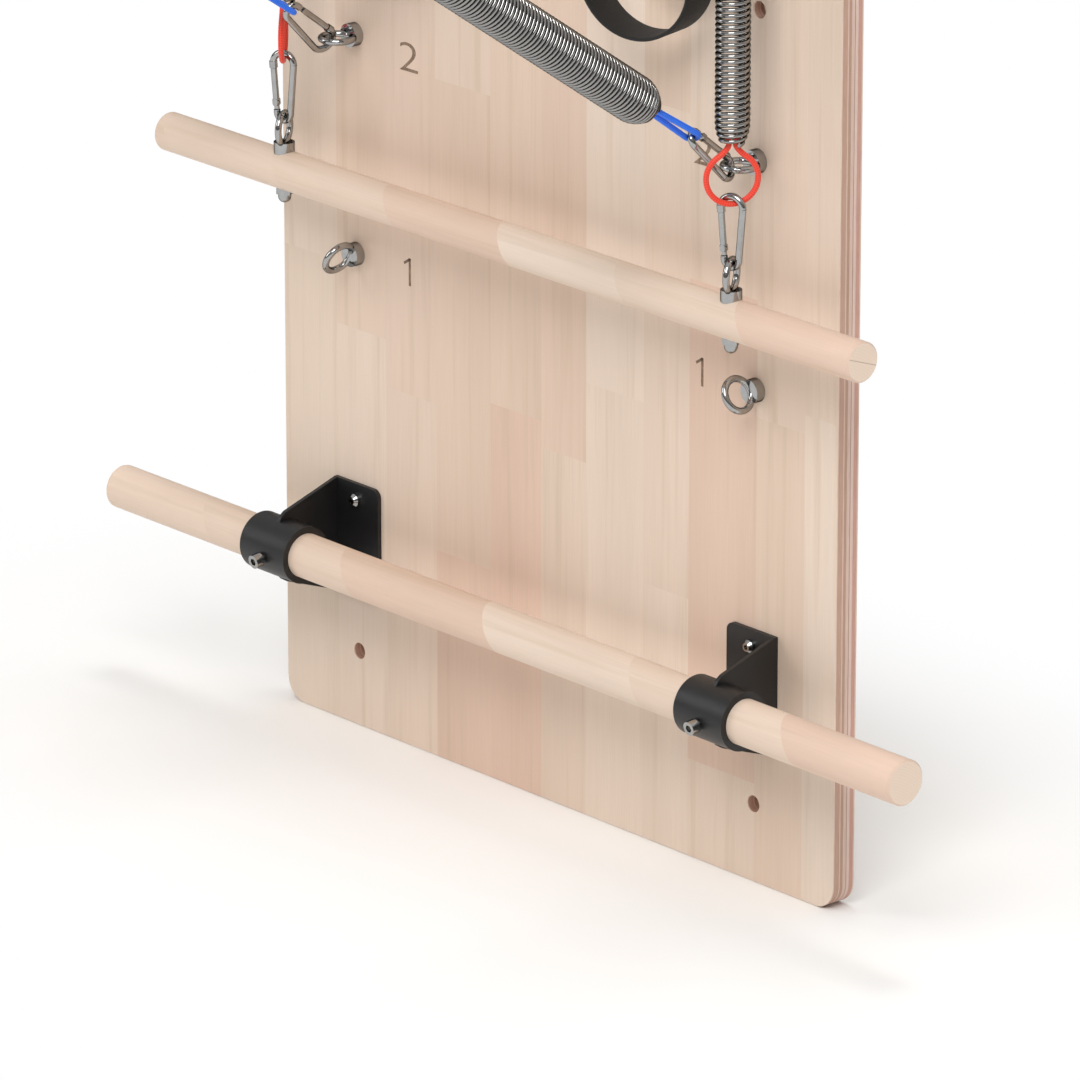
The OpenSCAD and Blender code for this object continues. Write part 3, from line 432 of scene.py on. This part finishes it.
def beech_panel(col, size):
    """Edge-glued beech on a ply core, sanded and oiled: staves of slightly different
    tone with staggered butt joints, matt with a low sheen, striped plies on the edges."""
    made, tree, shader = new_material("oiled_beech_panel", IOR=1.45)
    spot = add(tree, "TexCoord", {}, {})
    x, y, z = add(tree, "SeparateXYZ", {}, {0: spot.outputs["Object"]}).outputs
    width, length = mm(size.stave_width), mm(size.stave_length)
    # staves vary in width, so their index comes from a gently warped X
    sway = add(tree, "TexNoise", {"noise_dimensions": "1D"}, {"W": x, "Scale": 9.0,
                                                               "Detail": 0.0}).outputs["Fac"]
    warped = maths(tree, "ADD", x, maths(tree, "MULTIPLY", sway, 0.035))
    stave = maths(tree, "FLOOR", maths(tree, "DIVIDE", warped, width))
    lot = add(tree, "TexWhiteNoise", {"noise_dimensions": "1D"}, {"W": stave}).outputs["Value"]
    down = maths(tree, "MULTIPLY_ADD", lot, 7.3, maths(tree, "DIVIDE", z, length))
    block = maths(tree, "FLOOR", down)
    ids = add(tree, "CombineXYZ", {}, {0: stave, 1: block, 2: 3.7}).outputs[0]
    random = add(tree, "TexWhiteNoise", {"noise_dimensions": "3D"}, {"Vector": ids})
    tone = beech_tone(tree, col, random.outputs["Value"])
    shift = add(tree, "VectorMath", {"operation": "SCALE"},
                {0: random.outputs["Color"], "Scale": 9.0}).outputs[0]
    face, fibre = beech_grain(tree, tone, spot.outputs["Object"], shift)
    side = ply_edge(tree, spot, y)
    normal = add(tree, "SeparateXYZ", {}, {0: spot.outputs["Normal"]}).outputs[1]
    flat = maths(tree, "GREATER_THAN", maths(tree, "ABSOLUTE", normal), 0.6)
    tree.links.new(mix(tree, flat, side, face), shader.inputs["Base Color"])
    tree.links.new(grey_ramp(tree, fibre, (0.2, 0.52), (0.8, 0.64)),
                   shader.inputs["Roughness"])
    bump(tree, shader, fibre, 0.08, 0.0004)
    return made


def beech_dowel(name, col, centre, block_length, seam_share):
    """Laminated beech dowel, turned and oiled: glued blocks along X whose joints run
    obliquely round it, closed silky surface, growth rings on the sawn ends, and as much
    of the glue line across them as seam_share says."""
    made, tree, shader = new_material(name, IOR=1.45)
    spot = add(tree, "TexCoord", {}, {})
    moved = stretched(tree, spot.outputs["Object"], (1, 1, 1), [-c for c in centre])
    x, y, z = add(tree, "SeparateXYZ", {}, {0: moved}).outputs
    lean = maths(tree, "ADD", maths(tree, "MULTIPLY", z, 0.55), maths(tree, "MULTIPLY", y, 0.4))
    along = maths(tree, "DIVIDE", maths(tree, "ADD", x, lean), block_length)
    block = maths(tree, "FLOOR", along)
    ids = add(tree, "CombineXYZ", {}, {0: block, 1: 0.4, 2: 1.9}).outputs[0]
    random = add(tree, "TexWhiteNoise", {"noise_dimensions": "3D"}, {"Vector": ids})
    # dowels are cut from the paler wood, so the darkest tones are left out
    tone = beech_tone(tree, col, maths(tree, "MULTIPLY", random.outputs["Value"], 0.72))
    shift = add(tree, "VectorMath", {"operation": "SCALE"},
                {0: random.outputs["Color"], "Scale": 5.0}).outputs[0]
    turned = add(tree, "CombineXYZ", {}, {0: y, 1: z, 2: x}).outputs[0]
    face, fibre = beech_grain(tree, tone, turned, shift)
    # growth rings on the sawn ends, about 2.5 mm apart, round a heart off the bar
    heart = add(tree, "CombineXYZ", {}, {0: 0.0, 1: maths(tree, "ADD", y, 0.03),
                                         2: maths(tree, "ADD", z, 0.05)}).outputs[0]
    away = add(tree, "VectorMath", {"operation": "LENGTH"}, {0: heart}).outputs["Value"]
    rings = maths(tree, "SINE", maths(tree, "MULTIPLY", away, 2 * math.pi / 0.0025))
    end = mix(tree, maths(tree, "MULTIPLY_ADD", rings, 0.08, 0.3), linear(END_TONE),
              linear(RING_TONE))
    seam = maths(tree, "ABSOLUTE", maths(tree, "ADD", z, maths(tree, "MULTIPLY", y, 0.35)))
    seam = maths(tree, "LESS_THAN", seam, 0.0004)
    end = mix(tree, maths(tree, "MULTIPLY", seam, seam_share), end, linear(GLUE_TONE))
    normal = add(tree, "SeparateXYZ", {}, {0: spot.outputs["Normal"]}).outputs[0]
    sawn = maths(tree, "GREATER_THAN", maths(tree, "ABSOLUTE", normal), 0.8)
    tree.links.new(mix(tree, sawn, face, end), shader.inputs["Base Color"])
    tree.links.new(grey_ramp(tree, fibre, (0.2, 0.42), (0.8, 0.54)),
                   shader.inputs["Roughness"])
    bump(tree, shader, fibre, 0.06, 0.0003)
    return made


def plated_steel(name, colour):
    """Plated steel, tumbled bright: metallic, a little uneven in gloss, darker where
    it turns away as nickel and zinc are, faint waves of the forming under the plating."""
    made, tree, shader = new_material(name, Metallic=1.0, Specular_Tint=(0.12, 0.12, 0.12, 1))
    spot = add(tree, "TexCoord", {}, {}).outputs["Object"]
    cloud = noise(tree, spot, 120, 3, 0.6)
    colour = ramp(tree, cloud, [(0.3, [c * 0.86 for c in linear(colour)[:3]]),
                                (0.7, linear(colour)[:3])])
    tree.links.new(colour, shader.inputs["Base Color"])
    # the gloss varies over about 1 mm, the waves under it over 4 mm
    rough = 0.11
    gloss = noise(tree, spot, 900, 2, 0.5)
    tree.links.new(grey_ramp(tree, gloss, (0.3, rough * 0.75), (0.7, rough * 1.3)),
                   shader.inputs["Roughness"])
    bump(tree, shader, noise(tree, spot, 260, 1, 0.4), 0.05, 0.0006)
    return made


def powder_coat(name, colour):
    """Black polyester powder coat on steel: fine orange peel of about 0.5 mm, satin,
    with a soft broad highlight."""
    made, tree, shader = new_material(name, IOR=1.5)
    spot = add(tree, "TexCoord", {}, {}).outputs["Object"]
    peel = noise(tree, spot, 1900, 2, 0.5)
    cloud = noise(tree, spot, 40, 3, 0.6)
    base = linear(colour)[:3]
    tree.links.new(ramp(tree, cloud, [(0.3, [c * 0.85 for c in base]),
                                      (0.7, [c * 1.2 for c in base])]),
                   shader.inputs["Base Color"])
    tree.links.new(grey_ramp(tree, peel, (0.3, 0.36), (0.7, 0.5)),
                   shader.inputs["Roughness"])
    bump(tree, shader, peel, 0.25, 0.0002)
    return made


def braided_cord(name, colour):
    """Polyester cord in a tight sleeve: small diamonds of a sixteen-carrier braid,
    2 mm long, soft sheen of the filaments. Painted shade darkens the colour in the hollows
    between the strands, and painted light makes it lighter on their crests."""
    made, tree, shader = new_material(name, IOR=1.5, Sheen_Weight=0.25, Sheen_Roughness=0.4)
    uv = add(tree, "TexCoord", {}, {}).outputs["UV"]
    along, turn, _ = add(tree, "SeparateXYZ", {}, {0: uv}).outputs
    a = maths(tree, "MULTIPLY", along, 2 * math.pi / 0.0042)
    b = maths(tree, "MULTIPLY", turn, 2 * math.pi * 4)
    one = maths(tree, "SINE", maths(tree, "ADD", a, b))
    two = maths(tree, "SINE", maths(tree, "SUBTRACT", a, b))
    weave = maths(tree, "MULTIPLY_ADD", maths(tree, "MULTIPLY", one, two), 0.5, 0.5)
    base = linear(colour)[:3]
    # painted shade in the braid's hollows and painted light on its crests: the colour follows
    # the weave's height
    tree.links.new(ramp(tree, weave, [(0.0, [c * 0.72 for c in base]), (0.5, base),
                                      (1.0, [min(1, c * 1.12 + 0.004) for c in base])]),
                   shader.inputs["Base Color"])
    tree.links.new(grey_ramp(tree, weave, (0, 0.62), (1, 0.48)),
                   shader.inputs["Roughness"])
    bump(tree, shader, weave, 0.35, 0.0003)
    return made


def woven_webbing(col):
    """Heavy cotton and nylon webbing, plain woven: weft ribs 1.6 mm apart across the
    strap and fine warp ends, dull black-brown with a dusty sheen. Painted shade darkens the
    colour in the grooves between the ribs, and painted light makes it lighter on them. The
    fibres' fuzz is mixed in as real tone."""
    made, tree, shader = new_material("cotton_nylon_webbing", IOR=1.5, Sheen_Weight=0.05,
                                      Sheen_Roughness=0.6)
    uv = add(tree, "TexCoord", {}, {}).outputs["UV"]
    along, across, _ = add(tree, "SeparateXYZ", {}, {0: uv}).outputs
    weft = maths(tree, "SINE", maths(tree, "MULTIPLY", along, 2 * math.pi / 0.0016))
    warp = maths(tree, "SINE", maths(tree, "MULTIPLY", across, 2 * math.pi / 0.0012))
    height = maths(tree, "MULTIPLY_ADD", weft, 0.32, 0.5)
    height = maths(tree, "ADD", height, maths(tree, "MULTIPLY", warp, 0.16))
    fuzz = noise(tree, stretched(tree, uv, (700, 2500, 1)), 1, 3, 0.7)
    fac = maths(tree, "ADD", maths(tree, "MULTIPLY", height, 0.7),
                maths(tree, "MULTIPLY", fuzz, 0.3))
    base = linear(col.webbing)[:3]
    # painted shade in the grooves between the ribs and painted light on them, mixed with the
    # fibres' fuzz as real tone
    tree.links.new(ramp(tree, fac, [(0.25, [c * 0.55 for c in base]),
                                    (0.75, [c * 1.35 for c in base])]),
                   shader.inputs["Base Color"])
    tree.links.new(grey_ramp(tree, fuzz, (0.3, 0.72), (0.7, 0.86)),
                   shader.inputs["Roughness"])
    bump(tree, shader, fac, 0.6, 0.0005)
    return made


def burnt_wood(col):
    """Scorched beech of the burnt-in row numbers: brown, matt, unevenly charred."""
    made, tree, shader = new_material("scorched_beech", IOR=1.45)
    spot = add(tree, "TexCoord", {}, {}).outputs["Object"]
    char = noise(tree, stretched(tree, spot, (700, 700, 260)), 1, 3, 0.7)
    tree.links.new(ramp(tree, char, [(0.3, linear(CHAR_TONE)), (0.55, linear(col.burn)),
                                     (0.75, linear(SCORCH_TONE))]),
                   shader.inputs["Base Color"])
    tree.links.new(grey_ramp(tree, char, (0.3, 0.8), (0.7, 0.95)), shader.inputs["Roughness"])
    bump(tree, shader, char, 0.3, 0.0003)
    return made


MADE = {}


def material(name):
    """Each finish is made once, when a piece first asks for it."""
    if name not in MADE:
        col, size = bpy.context.scene.tower_colours, bpy.context.scene.tower_sizes
        MADE[name] = {
            "panel": lambda: beech_panel(col, size),
            "foot": lambda: beech_dowel("oiled_beech_foot_bar", col, FOOT_BAR, FOOT_BLOCK, 0.0),
            "roll": lambda: beech_dowel("oiled_beech_roll_bar", col, ROLL_BAR, ROLL_BLOCK, 0.6),
            "push": lambda: beech_dowel("oiled_beech_push_bar", col, PUSH_BAR, PUSH_BLOCK, 0.3),
            "bright": lambda: plated_steel("bright_zinc_plate", col.bright),
            "wire": lambda: plated_steel("nickel_plated_spring_wire", col.wire),
            "coat": lambda: powder_coat("black_powder_coat", col.powder),
            "red": lambda: braided_cord("red_braided_polyester", col.red_cord),
            "blue": lambda: braided_cord("blue_braided_polyester", col.blue_cord),
            "web": lambda: woven_webbing(col),
            "burn": lambda: burnt_wood(col),
        }[name]()
    return MADE[name]


# Which finish each of the frame's nodes takes, by the start of its name
NODE_FINISH = (
    ("board", "panel"), ("foot_bar", "foot"), ("roll_down_bar", "roll"),
    ("ptb_crossbar", "push"), ("foot_bracket", "coat"), ("ptb_arm", "coat"),
    ("ptb_bracket", "coat"), ("spring_hanger", "coat"), ("strap_pegs", "coat"),
    ("red_spring", "wire"), ("blue_spring", "wire"), ("red_loops", "red"),
    ("blue_loops", "blue"), ("strap_", "web"), ("", "bright"),
)


# Operators


class TOWER_OT_camera(bpy.types.Operator):
    """Adds the camera at the photograph's place: from the right, a little above"""
    bl_idname = "tower.camera"
    bl_label = "Camera"

    def execute(self, context):
        alone()
        bpy.ops.object.camera_add(location=EYE, rotation=[math.radians(a) for a in EYE_TURN])
        eye = context.object
        eye.name = "studio_camera"
        eye.data.sensor_width = 36
        eye.data.lens = EYE_LENS
        eye.data.clip_end = 100
        context.scene.camera = eye
        return {"FINISHED"}


def rounded(line):
    """Cuts the corners of an open line, three times over, with its ends kept."""
    for _ in range(3):
        cut = [line[0]]
        for a, b in zip(line, line[1:]):
            cut += [a.lerp(b, 0.25), a.lerp(b, 0.75)]
        line = cut + [line[-1]]
    return line


def cord_path(radius, diameter, length, rise, tip_diameter):
    """The line of a cord loop about its own middle, in the XZ plane: from a knot in the
    spring's end turn down one strand, round the bend and up the other. The strands meet
    at length above the middle and go into the spring rise higher."""
    steps = 44
    half_gap = diameter / 2 + mm(0.1)
    knot_x = (tip_diameter / 2 - mm(3)) / 2 + mm(0.15)
    top = length + rise
    # the angle at which a straight strand leaves the round part
    a = math.atan2(length, half_gap) - math.acos(radius / math.hypot(half_gap, length))
    leave = Vector((radius * math.cos(a), 0, radius * math.sin(a)))
    strand = rounded([Vector((knot_x, 0, top + mm(6.5))), Vector((knot_x, 0, top + mm(4))),
                      Vector((half_gap, 0, top)),
                      leave.lerp(Vector((half_gap, 0, length)), 0.5), leave])
    bend = []
    for i in range(1, steps):
        t = a - (math.pi + 2 * a) * i / steps
        bend.append(Vector((radius * math.cos(t), 0, radius * math.sin(t))))
    return strand + bend + [Vector((-p.x, 0, p.z)) for p in reversed(strand)]


class TOWER_OT_cords(bpy.types.Operator):
    """Adds the red and blue cord loops that hang the springs in their hooks"""
    bl_idname = "tower.cords"
    bl_label = "Cord loops"

    def loop(self, name, matrix, shape, colour, body, node):
        points = [matrix @ p for p in cord_path(*shape)]
        diameter = shape[1]
        cord = tube(name, points, diameter, 16)
        finish_piece(cord, name, material(colour), body, [node])

    def execute(self, context):
        size = context.scene.tower_sizes
        # radius, diameter, length and rise of the strands, diameter of the spring's tip;
        # the blue loops lie close round the 6 mm wire of their hooks
        red = (mm(size.red_loop), mm(size.red_cord), mm(25.5), mm(2.5), mm(size.red_tip))
        thick = mm(size.blue_cord)
        blue = (mm(3.3) + thick / 2, thick, mm(53), mm(0.5), mm(size.blue_tip))
        for s in SIDES:
            side = SIDE_NAME[s]
            low = (Matrix.Translation((s * CHAIN_X, CHAIN_Y, LOW_LOOP_MID))
                   @ Matrix.Rotation(math.radians(LOOP_TURN[s]), 4, "Z"))
            self.loop("red_cord_lower_" + side, low, red, "red", "spring_ends",
                      "red_loops_lower")
            top = (Matrix.Translation((s * CHAIN_X, CHAIN_Y, TOP_LOOP_MID))
                   @ Matrix.Rotation(math.pi / 2, 4, "Z") @ Matrix.Rotation(math.pi, 4, "X"))
            self.loop("red_cord_upper_" + side, top, red, "red", "hanging_springs",
                      "red_loops_upper")
            near = (Matrix.Translation((s * COLUMN_X, NEAR_LOW.y, NEAR_LOW.z))
                    @ Matrix.Rotation(math.pi / 2 - NEAR_LOOP_RISE, 4, "X")
                    @ Matrix.Rotation(math.radians(NEAR_TURN[s]), 4, "Z"))
            self.loop("blue_cord_near_" + side, near, blue, "blue", "frame",
                      "blue_loops_near")
            far = (Matrix.Translation((s * COLUMN_X, FAR_LOW.y, FAR_LOW.z))
                   @ Matrix.Rotation(-math.pi / 2 - BLUE_RISE, 4, "X"))
            self.loop("blue_cord_far_" + side, far, blue, "blue", "push_through_bar",
                      "blue_loops_far")
        return {"FINISHED"}


def wound_spring(name, outer, tip, taper, wire, turns, length, steps):
    """A closely wound spring up the Z axis from the origin, steps to a turn, narrowed
    over taper at both ends to the diameter tip."""
    alone()
    bpy.ops.mesh.primitive_circle_add(vertices=8, radius=wire / 2,
                                      location=(outer / 2 - wire / 2, 0, 0),
                                      rotation=(math.pi / 2, 0, 0))
    coil = settle(bpy.context.object)
    wind = coil.modifiers.new("wind", "SCREW")
    wind.axis = "Z"
    wind.angle = 2 * math.pi
    wind.screw_offset = (length - wire) / turns
    wind.iterations = turns
    wind.steps = wind.render_steps = steps
    wind.use_merge_vertices = False
    apply_all(coil)
    narrow = (outer - tip) / 2
    for v in coil.data.vertices:
        v.co.z += wire / 2
        near = min(v.co.z, length - v.co.z)
        if near < taper:
            r = math.hypot(v.co.x, v.co.y)
            share = 1 - math.sin(max(0.0, near) / taper * math.pi / 2)
            v.co.x *= (r - narrow * share) / r
            v.co.y *= (r - narrow * share) / r
    tidy_shell(coil, 70)
    coil.name = name
    return coil


class TOWER_OT_springs(bpy.types.Operator):
    """Adds the two long upright springs and the two short slanting ones, coil by coil"""
    bl_idname = "tower.springs"
    bl_label = "Springs"

    def execute(self, context):
        size = context.scene.tower_sizes
        for s in SIDES:
            side = SIDE_NAME[s]
            long = wound_spring("long_spring_" + side, mm(size.red_outer), mm(size.red_tip),
                                mm(size.red_taper), mm(size.red_wire), size.red_turns,
                                RED_TOP - RED_LOW, 24)
            settle(long, Matrix.Translation((s * CHAIN_X, CHAIN_Y, RED_LOW)))
            finish_piece(long, long.name, material("wire"), None, ["red_spring_" + side])
            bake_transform(long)
            short = wound_spring("short_spring_" + side, mm(size.blue_outer),
                                 mm(size.blue_tip), mm(size.blue_taper), mm(size.blue_wire),
                                 size.blue_turns, (BLUE_END - BLUE_TIP).length, 28)
            across = Vector((s * COLUMN_X, 0, 0))
            settle(short, Matrix.Translation(BLUE_TIP + across)
                   @ Matrix.Rotation(math.pi / 2 - BLUE_RISE, 4, "X"))
            finish_piece(short, short.name, material("wire"), None, ["blue_spring_" + side])
            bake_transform(short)
        return {"FINISHED"}


def strap_line(radius, thick):
    """The middle line of a strap loop about its peg: over the peg, down, round the bend
    of that inner radius and up."""
    wide, narrow = radius + thick / 2, PEG_ROUND + thick / 2
    drop = PEG_Z - STRAP_LOW - radius - thick
    a = math.asin((wide - narrow) / drop)
    over = [a + (math.pi - 2 * a) * i / 24 for i in range(25)]
    under = [math.pi - a + (math.pi + 2 * a) * i / 64 for i in range(65)]
    over = [Vector((narrow * math.cos(t), 0, narrow * math.sin(t))) for t in over]
    under = [Vector((wide * math.cos(t), 0, wide * math.sin(t) - drop)) for t in under]
    down = [over[-1].lerp(under[0], i / 24) for i in range(1, 24)]
    up = [under[-1].lerp(over[0], i / 24) for i in range(1, 24)]
    return over + down + under + up


class TOWER_OT_straps(bpy.types.Operator):
    """Adds the two webbing straps that hang from their pegs"""
    bl_idname = "tower.straps"
    bl_label = "Straps"

    def execute(self, context):
        size = context.scene.tower_sizes
        wide, thick = mm(size.web_width), mm(size.web_thick)
        for s in SIDES:
            side = SIDE_NAME[s]
            line = strap_line(mm(size.strap_round), thick)
            # drawn lying down, so that its width stands up, and then turned upright
            band = drawn("web", [(p.x, p.z, 0) for p in line], closed=True,
                         extrude=wide / 2 - mm(0.4))
            settle(band, Matrix.Rotation(math.pi / 2, 4, "X"))
            in_edit(band, merge)
            wall = band.modifiers.new("cloth", "SOLIDIFY")
            wall.thickness, wall.offset = thick, 0
            rim = band.modifiers.new("selvedge", "BEVEL")
            rim.width, rim.segments = mm(0.9), 2
            apply_all(band)
            wrap_uv(band, line + [line[0]])
            layer = band.data.uv_layers.active
            for c in band.data.loops:
                layer.data[c.index].uv.y = band.data.vertices[c.vertex_index].co.y
            # the loop turns on its way down, more and more towards the bend
            turn = math.radians(size.strap_turn)
            for v in band.data.vertices:
                share = min(1, max(0, -v.co.z / TURN_LENGTH)) ** 1.5
                v.co = Matrix.Rotation(turn * share, 3, "Z") @ v.co
            in_edit(band, face_out)
            bpy.ops.object.shade_smooth_by_angle(angle=math.radians(50))
            settle(band, Matrix.Translation((s * STRAP_X, WEB_Y, PEG_Z)))
            finish_piece(band, "webbing_strap_" + side, material("web"), "strap_" + side,
                         ["strap_" + side])
        return {"FINISHED"}


class TOWER_OT_digits(bpy.types.Operator):
    """Adds the burnt row numbers beside the two columns of eye bolts"""
    bl_idname = "tower.digits"
    bl_label = "Row numbers"

    def glyph(self, sign):
        """One digit, 1 high and wider than the plain letters, its foot at the origin."""
        alone()
        bpy.ops.object.text_add()
        text = bpy.context.object
        text.data.body = sign
        text.data.align_x = "CENTER"
        text.data.offset = -0.012
        text.data.extrude = 0.003
        bpy.ops.object.convert(target="MESH")
        return settle(bpy.context.object, Matrix.Diagonal((2.2, 1.42, 1.42, 1)))

    def digit(self, sign):
        """A digit; the 1 is a slim stem with a slanting flag on its top."""
        if sign != "1":
            return self.glyph(sign)
        stem = self.glyph("1")
        settle(stem, Matrix.Diagonal((0.65, 1, 1, 1)))
        flag = self.glyph("1")
        slope = Matrix.Rotation(math.radians(-58), 4, "Z")
        settle(flag, Matrix.Translation((0.02, 0.93, 0)) @ slope
               @ Matrix.Diagonal((0.55, 0.38, 1, 1)) @ Matrix.Translation((0, -0.97, 0)))
        pick(stem, flag)
        bpy.ops.object.join()
        return bpy.context.object

    def execute(self, context):
        tall = mm(context.scene.tower_sizes.digit_height)
        parts = []
        for s in SIDES:
            for row, z in enumerate(ROW_Z):
                foot = z - (NEXT_DROP if row else FIRST_DROP) - tall / 2
                place = (Matrix.Translation((DIGIT_X[s], FRONT_Y, foot))
                         @ Matrix.Rotation(math.pi / 2, 4, "X")
                         @ Matrix.Diagonal((tall, tall, tall, 1)))
                parts.append(settle(self.digit(str(row + 1)), place))
        pick(*parts)
        bpy.ops.object.join()
        joined = context.object
        tidy_shell(joined, 30)
        finish_piece(joined, "burnt_row_numbers", material("burn"), "frame")
        return {"FINISHED"}


class TOWER_OT_finishes(bpy.types.Operator):
    """Gives every node of the frame its finish"""
    bl_idname = "tower.finishes"
    bl_label = "Finishes"

    def execute(self, context):
        for name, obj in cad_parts.items():
            kind = next(f for start, f in NODE_FINISH if name.startswith(start))
            if not obj.material_slots:
                obj.data.materials.append(None)
            for place in obj.material_slots:
                place.material = material(kind)
        return {"FINISHED"}


def white_paper():
    """Matt white paper: it takes the object's shadow. From 0.15 m off the board's foot
    it fades to pure white, fully at 0.6 m, to the eye and in reflections."""
    made, tree, shader = new_material("matt_white_paper", Roughness=0.95)
    spot = add(tree, "TexCoord", {}, {}).outputs["Object"]
    tone = noise(tree, spot, 3, 2)
    tree.links.new(ramp(tree, tone, list(enumerate(map(linear, PAPER_TONES)))),
                   shader.inputs["Base Color"])
    x, y, _ = add(tree, "SeparateXYZ", {}, {0: spot}).outputs
    past = maths(tree, "SUBTRACT", maths(tree, "ABSOLUTE", x), BOARD_EDGE_X)
    past = maths(tree, "MAXIMUM", past, 0.0)
    away = maths(tree, "SQRT", maths(tree, "ADD", maths(tree, "POWER", past, 2.0),
                                     maths(tree, "MULTIPLY", y, y)))
    fade = add(tree, "MapRange", {"interpolation_type": "SMOOTHSTEP"},
               {"Value": away, "From Min": 0.15, "From Max": 0.6}).outputs[0]
    ray = add(tree, "LightPath", {}, {}).outputs
    seen = maths(tree, "MAXIMUM", ray["Is Camera Ray"],
                 maths(tree, "MAXIMUM", ray["Is Glossy Ray"], ray["Is Transmission Ray"]))
    glow = add(tree, "Emission", {}, {"Strength": 1.0})
    both = add(tree, "MixShader", {}, {0: maths(tree, "MULTIPLY", seen, fade),
                                       1: shader.outputs[0], 2: glow.outputs[0]})
    tree.links.new(both.outputs[0], tree.nodes["Material Output"].inputs["Surface"])
    return made


def studio_light(name, location, target, size, power):
    alone()
    way = (Vector(target) - Vector(location)).to_track_quat("-Z", "Y")
    bpy.ops.object.light_add(type="AREA", location=location, rotation=way.to_euler())
    lamp = bpy.context.object
    lamp.name = name
    lamp.data.shape = "RECTANGLE"
    lamp.data.size, lamp.data.size_y = size
    lamp.data.energy = power


class TOWER_OT_stage(bpy.types.Operator):
    """Adds the plain pale floor, the soft studio lights and the pale surround"""
    bl_idname = "tower.stage"
    bl_label = "Studio"

    def execute(self, context):
        alone()
        bpy.ops.mesh.primitive_plane_add(size=60, location=(0, 0, -0.0005))
        floor = settle(context.object)
        floor.name = "studio_floor"
        floor.data.materials.append(white_paper())
        for light in LIGHTS:
            studio_light(*light)
        world = bpy.data.worlds.new("pale_surround")
        context.scene.world = world
        world.use_nodes = True
        sky = world.node_tree
        way = add(sky, "TexCoord", {}, {}).outputs["Generated"]
        up = add(sky, "SeparateXYZ", {}, {0: way}).outputs[2]
        sky_tone = ramp(sky, up, [(at, linear(c)) for at, c in SURROUND])
        back = sky.nodes["Background"]
        sky.links.new(sky_tone, back.inputs["Color"])
        back.inputs["Strength"].default_value = SURROUND_STRENGTH
        context.scene.view_settings.view_transform = "Standard"
        return {"FINISHED"}


class TOWER_PT_panel(bpy.types.Panel):
    bl_label = "Spring wall tower"
    bl_idname = "TOWER_PT_panel"
    bl_space_type = "VIEW_3D"
    bl_region_type = "UI"
    bl_category = "Tower"

    def draw(self, context):
        for owner in (context.scene.tower_sizes, context.scene.tower_colours):
            box = self.layout.box()
            for key in owner.__annotations__:
                box.prop(owner, key)
        for step in STEPS:
            self.layout.operator(step.bl_idname)


STEPS = (TOWER_OT_camera, TOWER_OT_cords, TOWER_OT_springs, TOWER_OT_straps,
         TOWER_OT_digits, TOWER_OT_finishes, TOWER_OT_stage)
CLASSES = (TowerSizes, TowerColours, *STEPS, TOWER_PT_panel)


def register():
    for c in CLASSES:
        bpy.utils.register_class(c)
    bpy.types.Scene.tower_sizes = PointerProperty(type=TowerSizes)
    bpy.types.Scene.tower_colours = PointerProperty(type=TowerColours)


def unregister():
    del bpy.types.Scene.tower_sizes
    del bpy.types.Scene.tower_colours
    for c in reversed(CLASSES):
        bpy.utils.unregister_class(c)


def main():
    register()
    for step in STEPS:
        group, name = step.bl_idname.split(".")
        getattr(getattr(bpy.ops, group), name)()


if __name__ == "__main__":
    main()
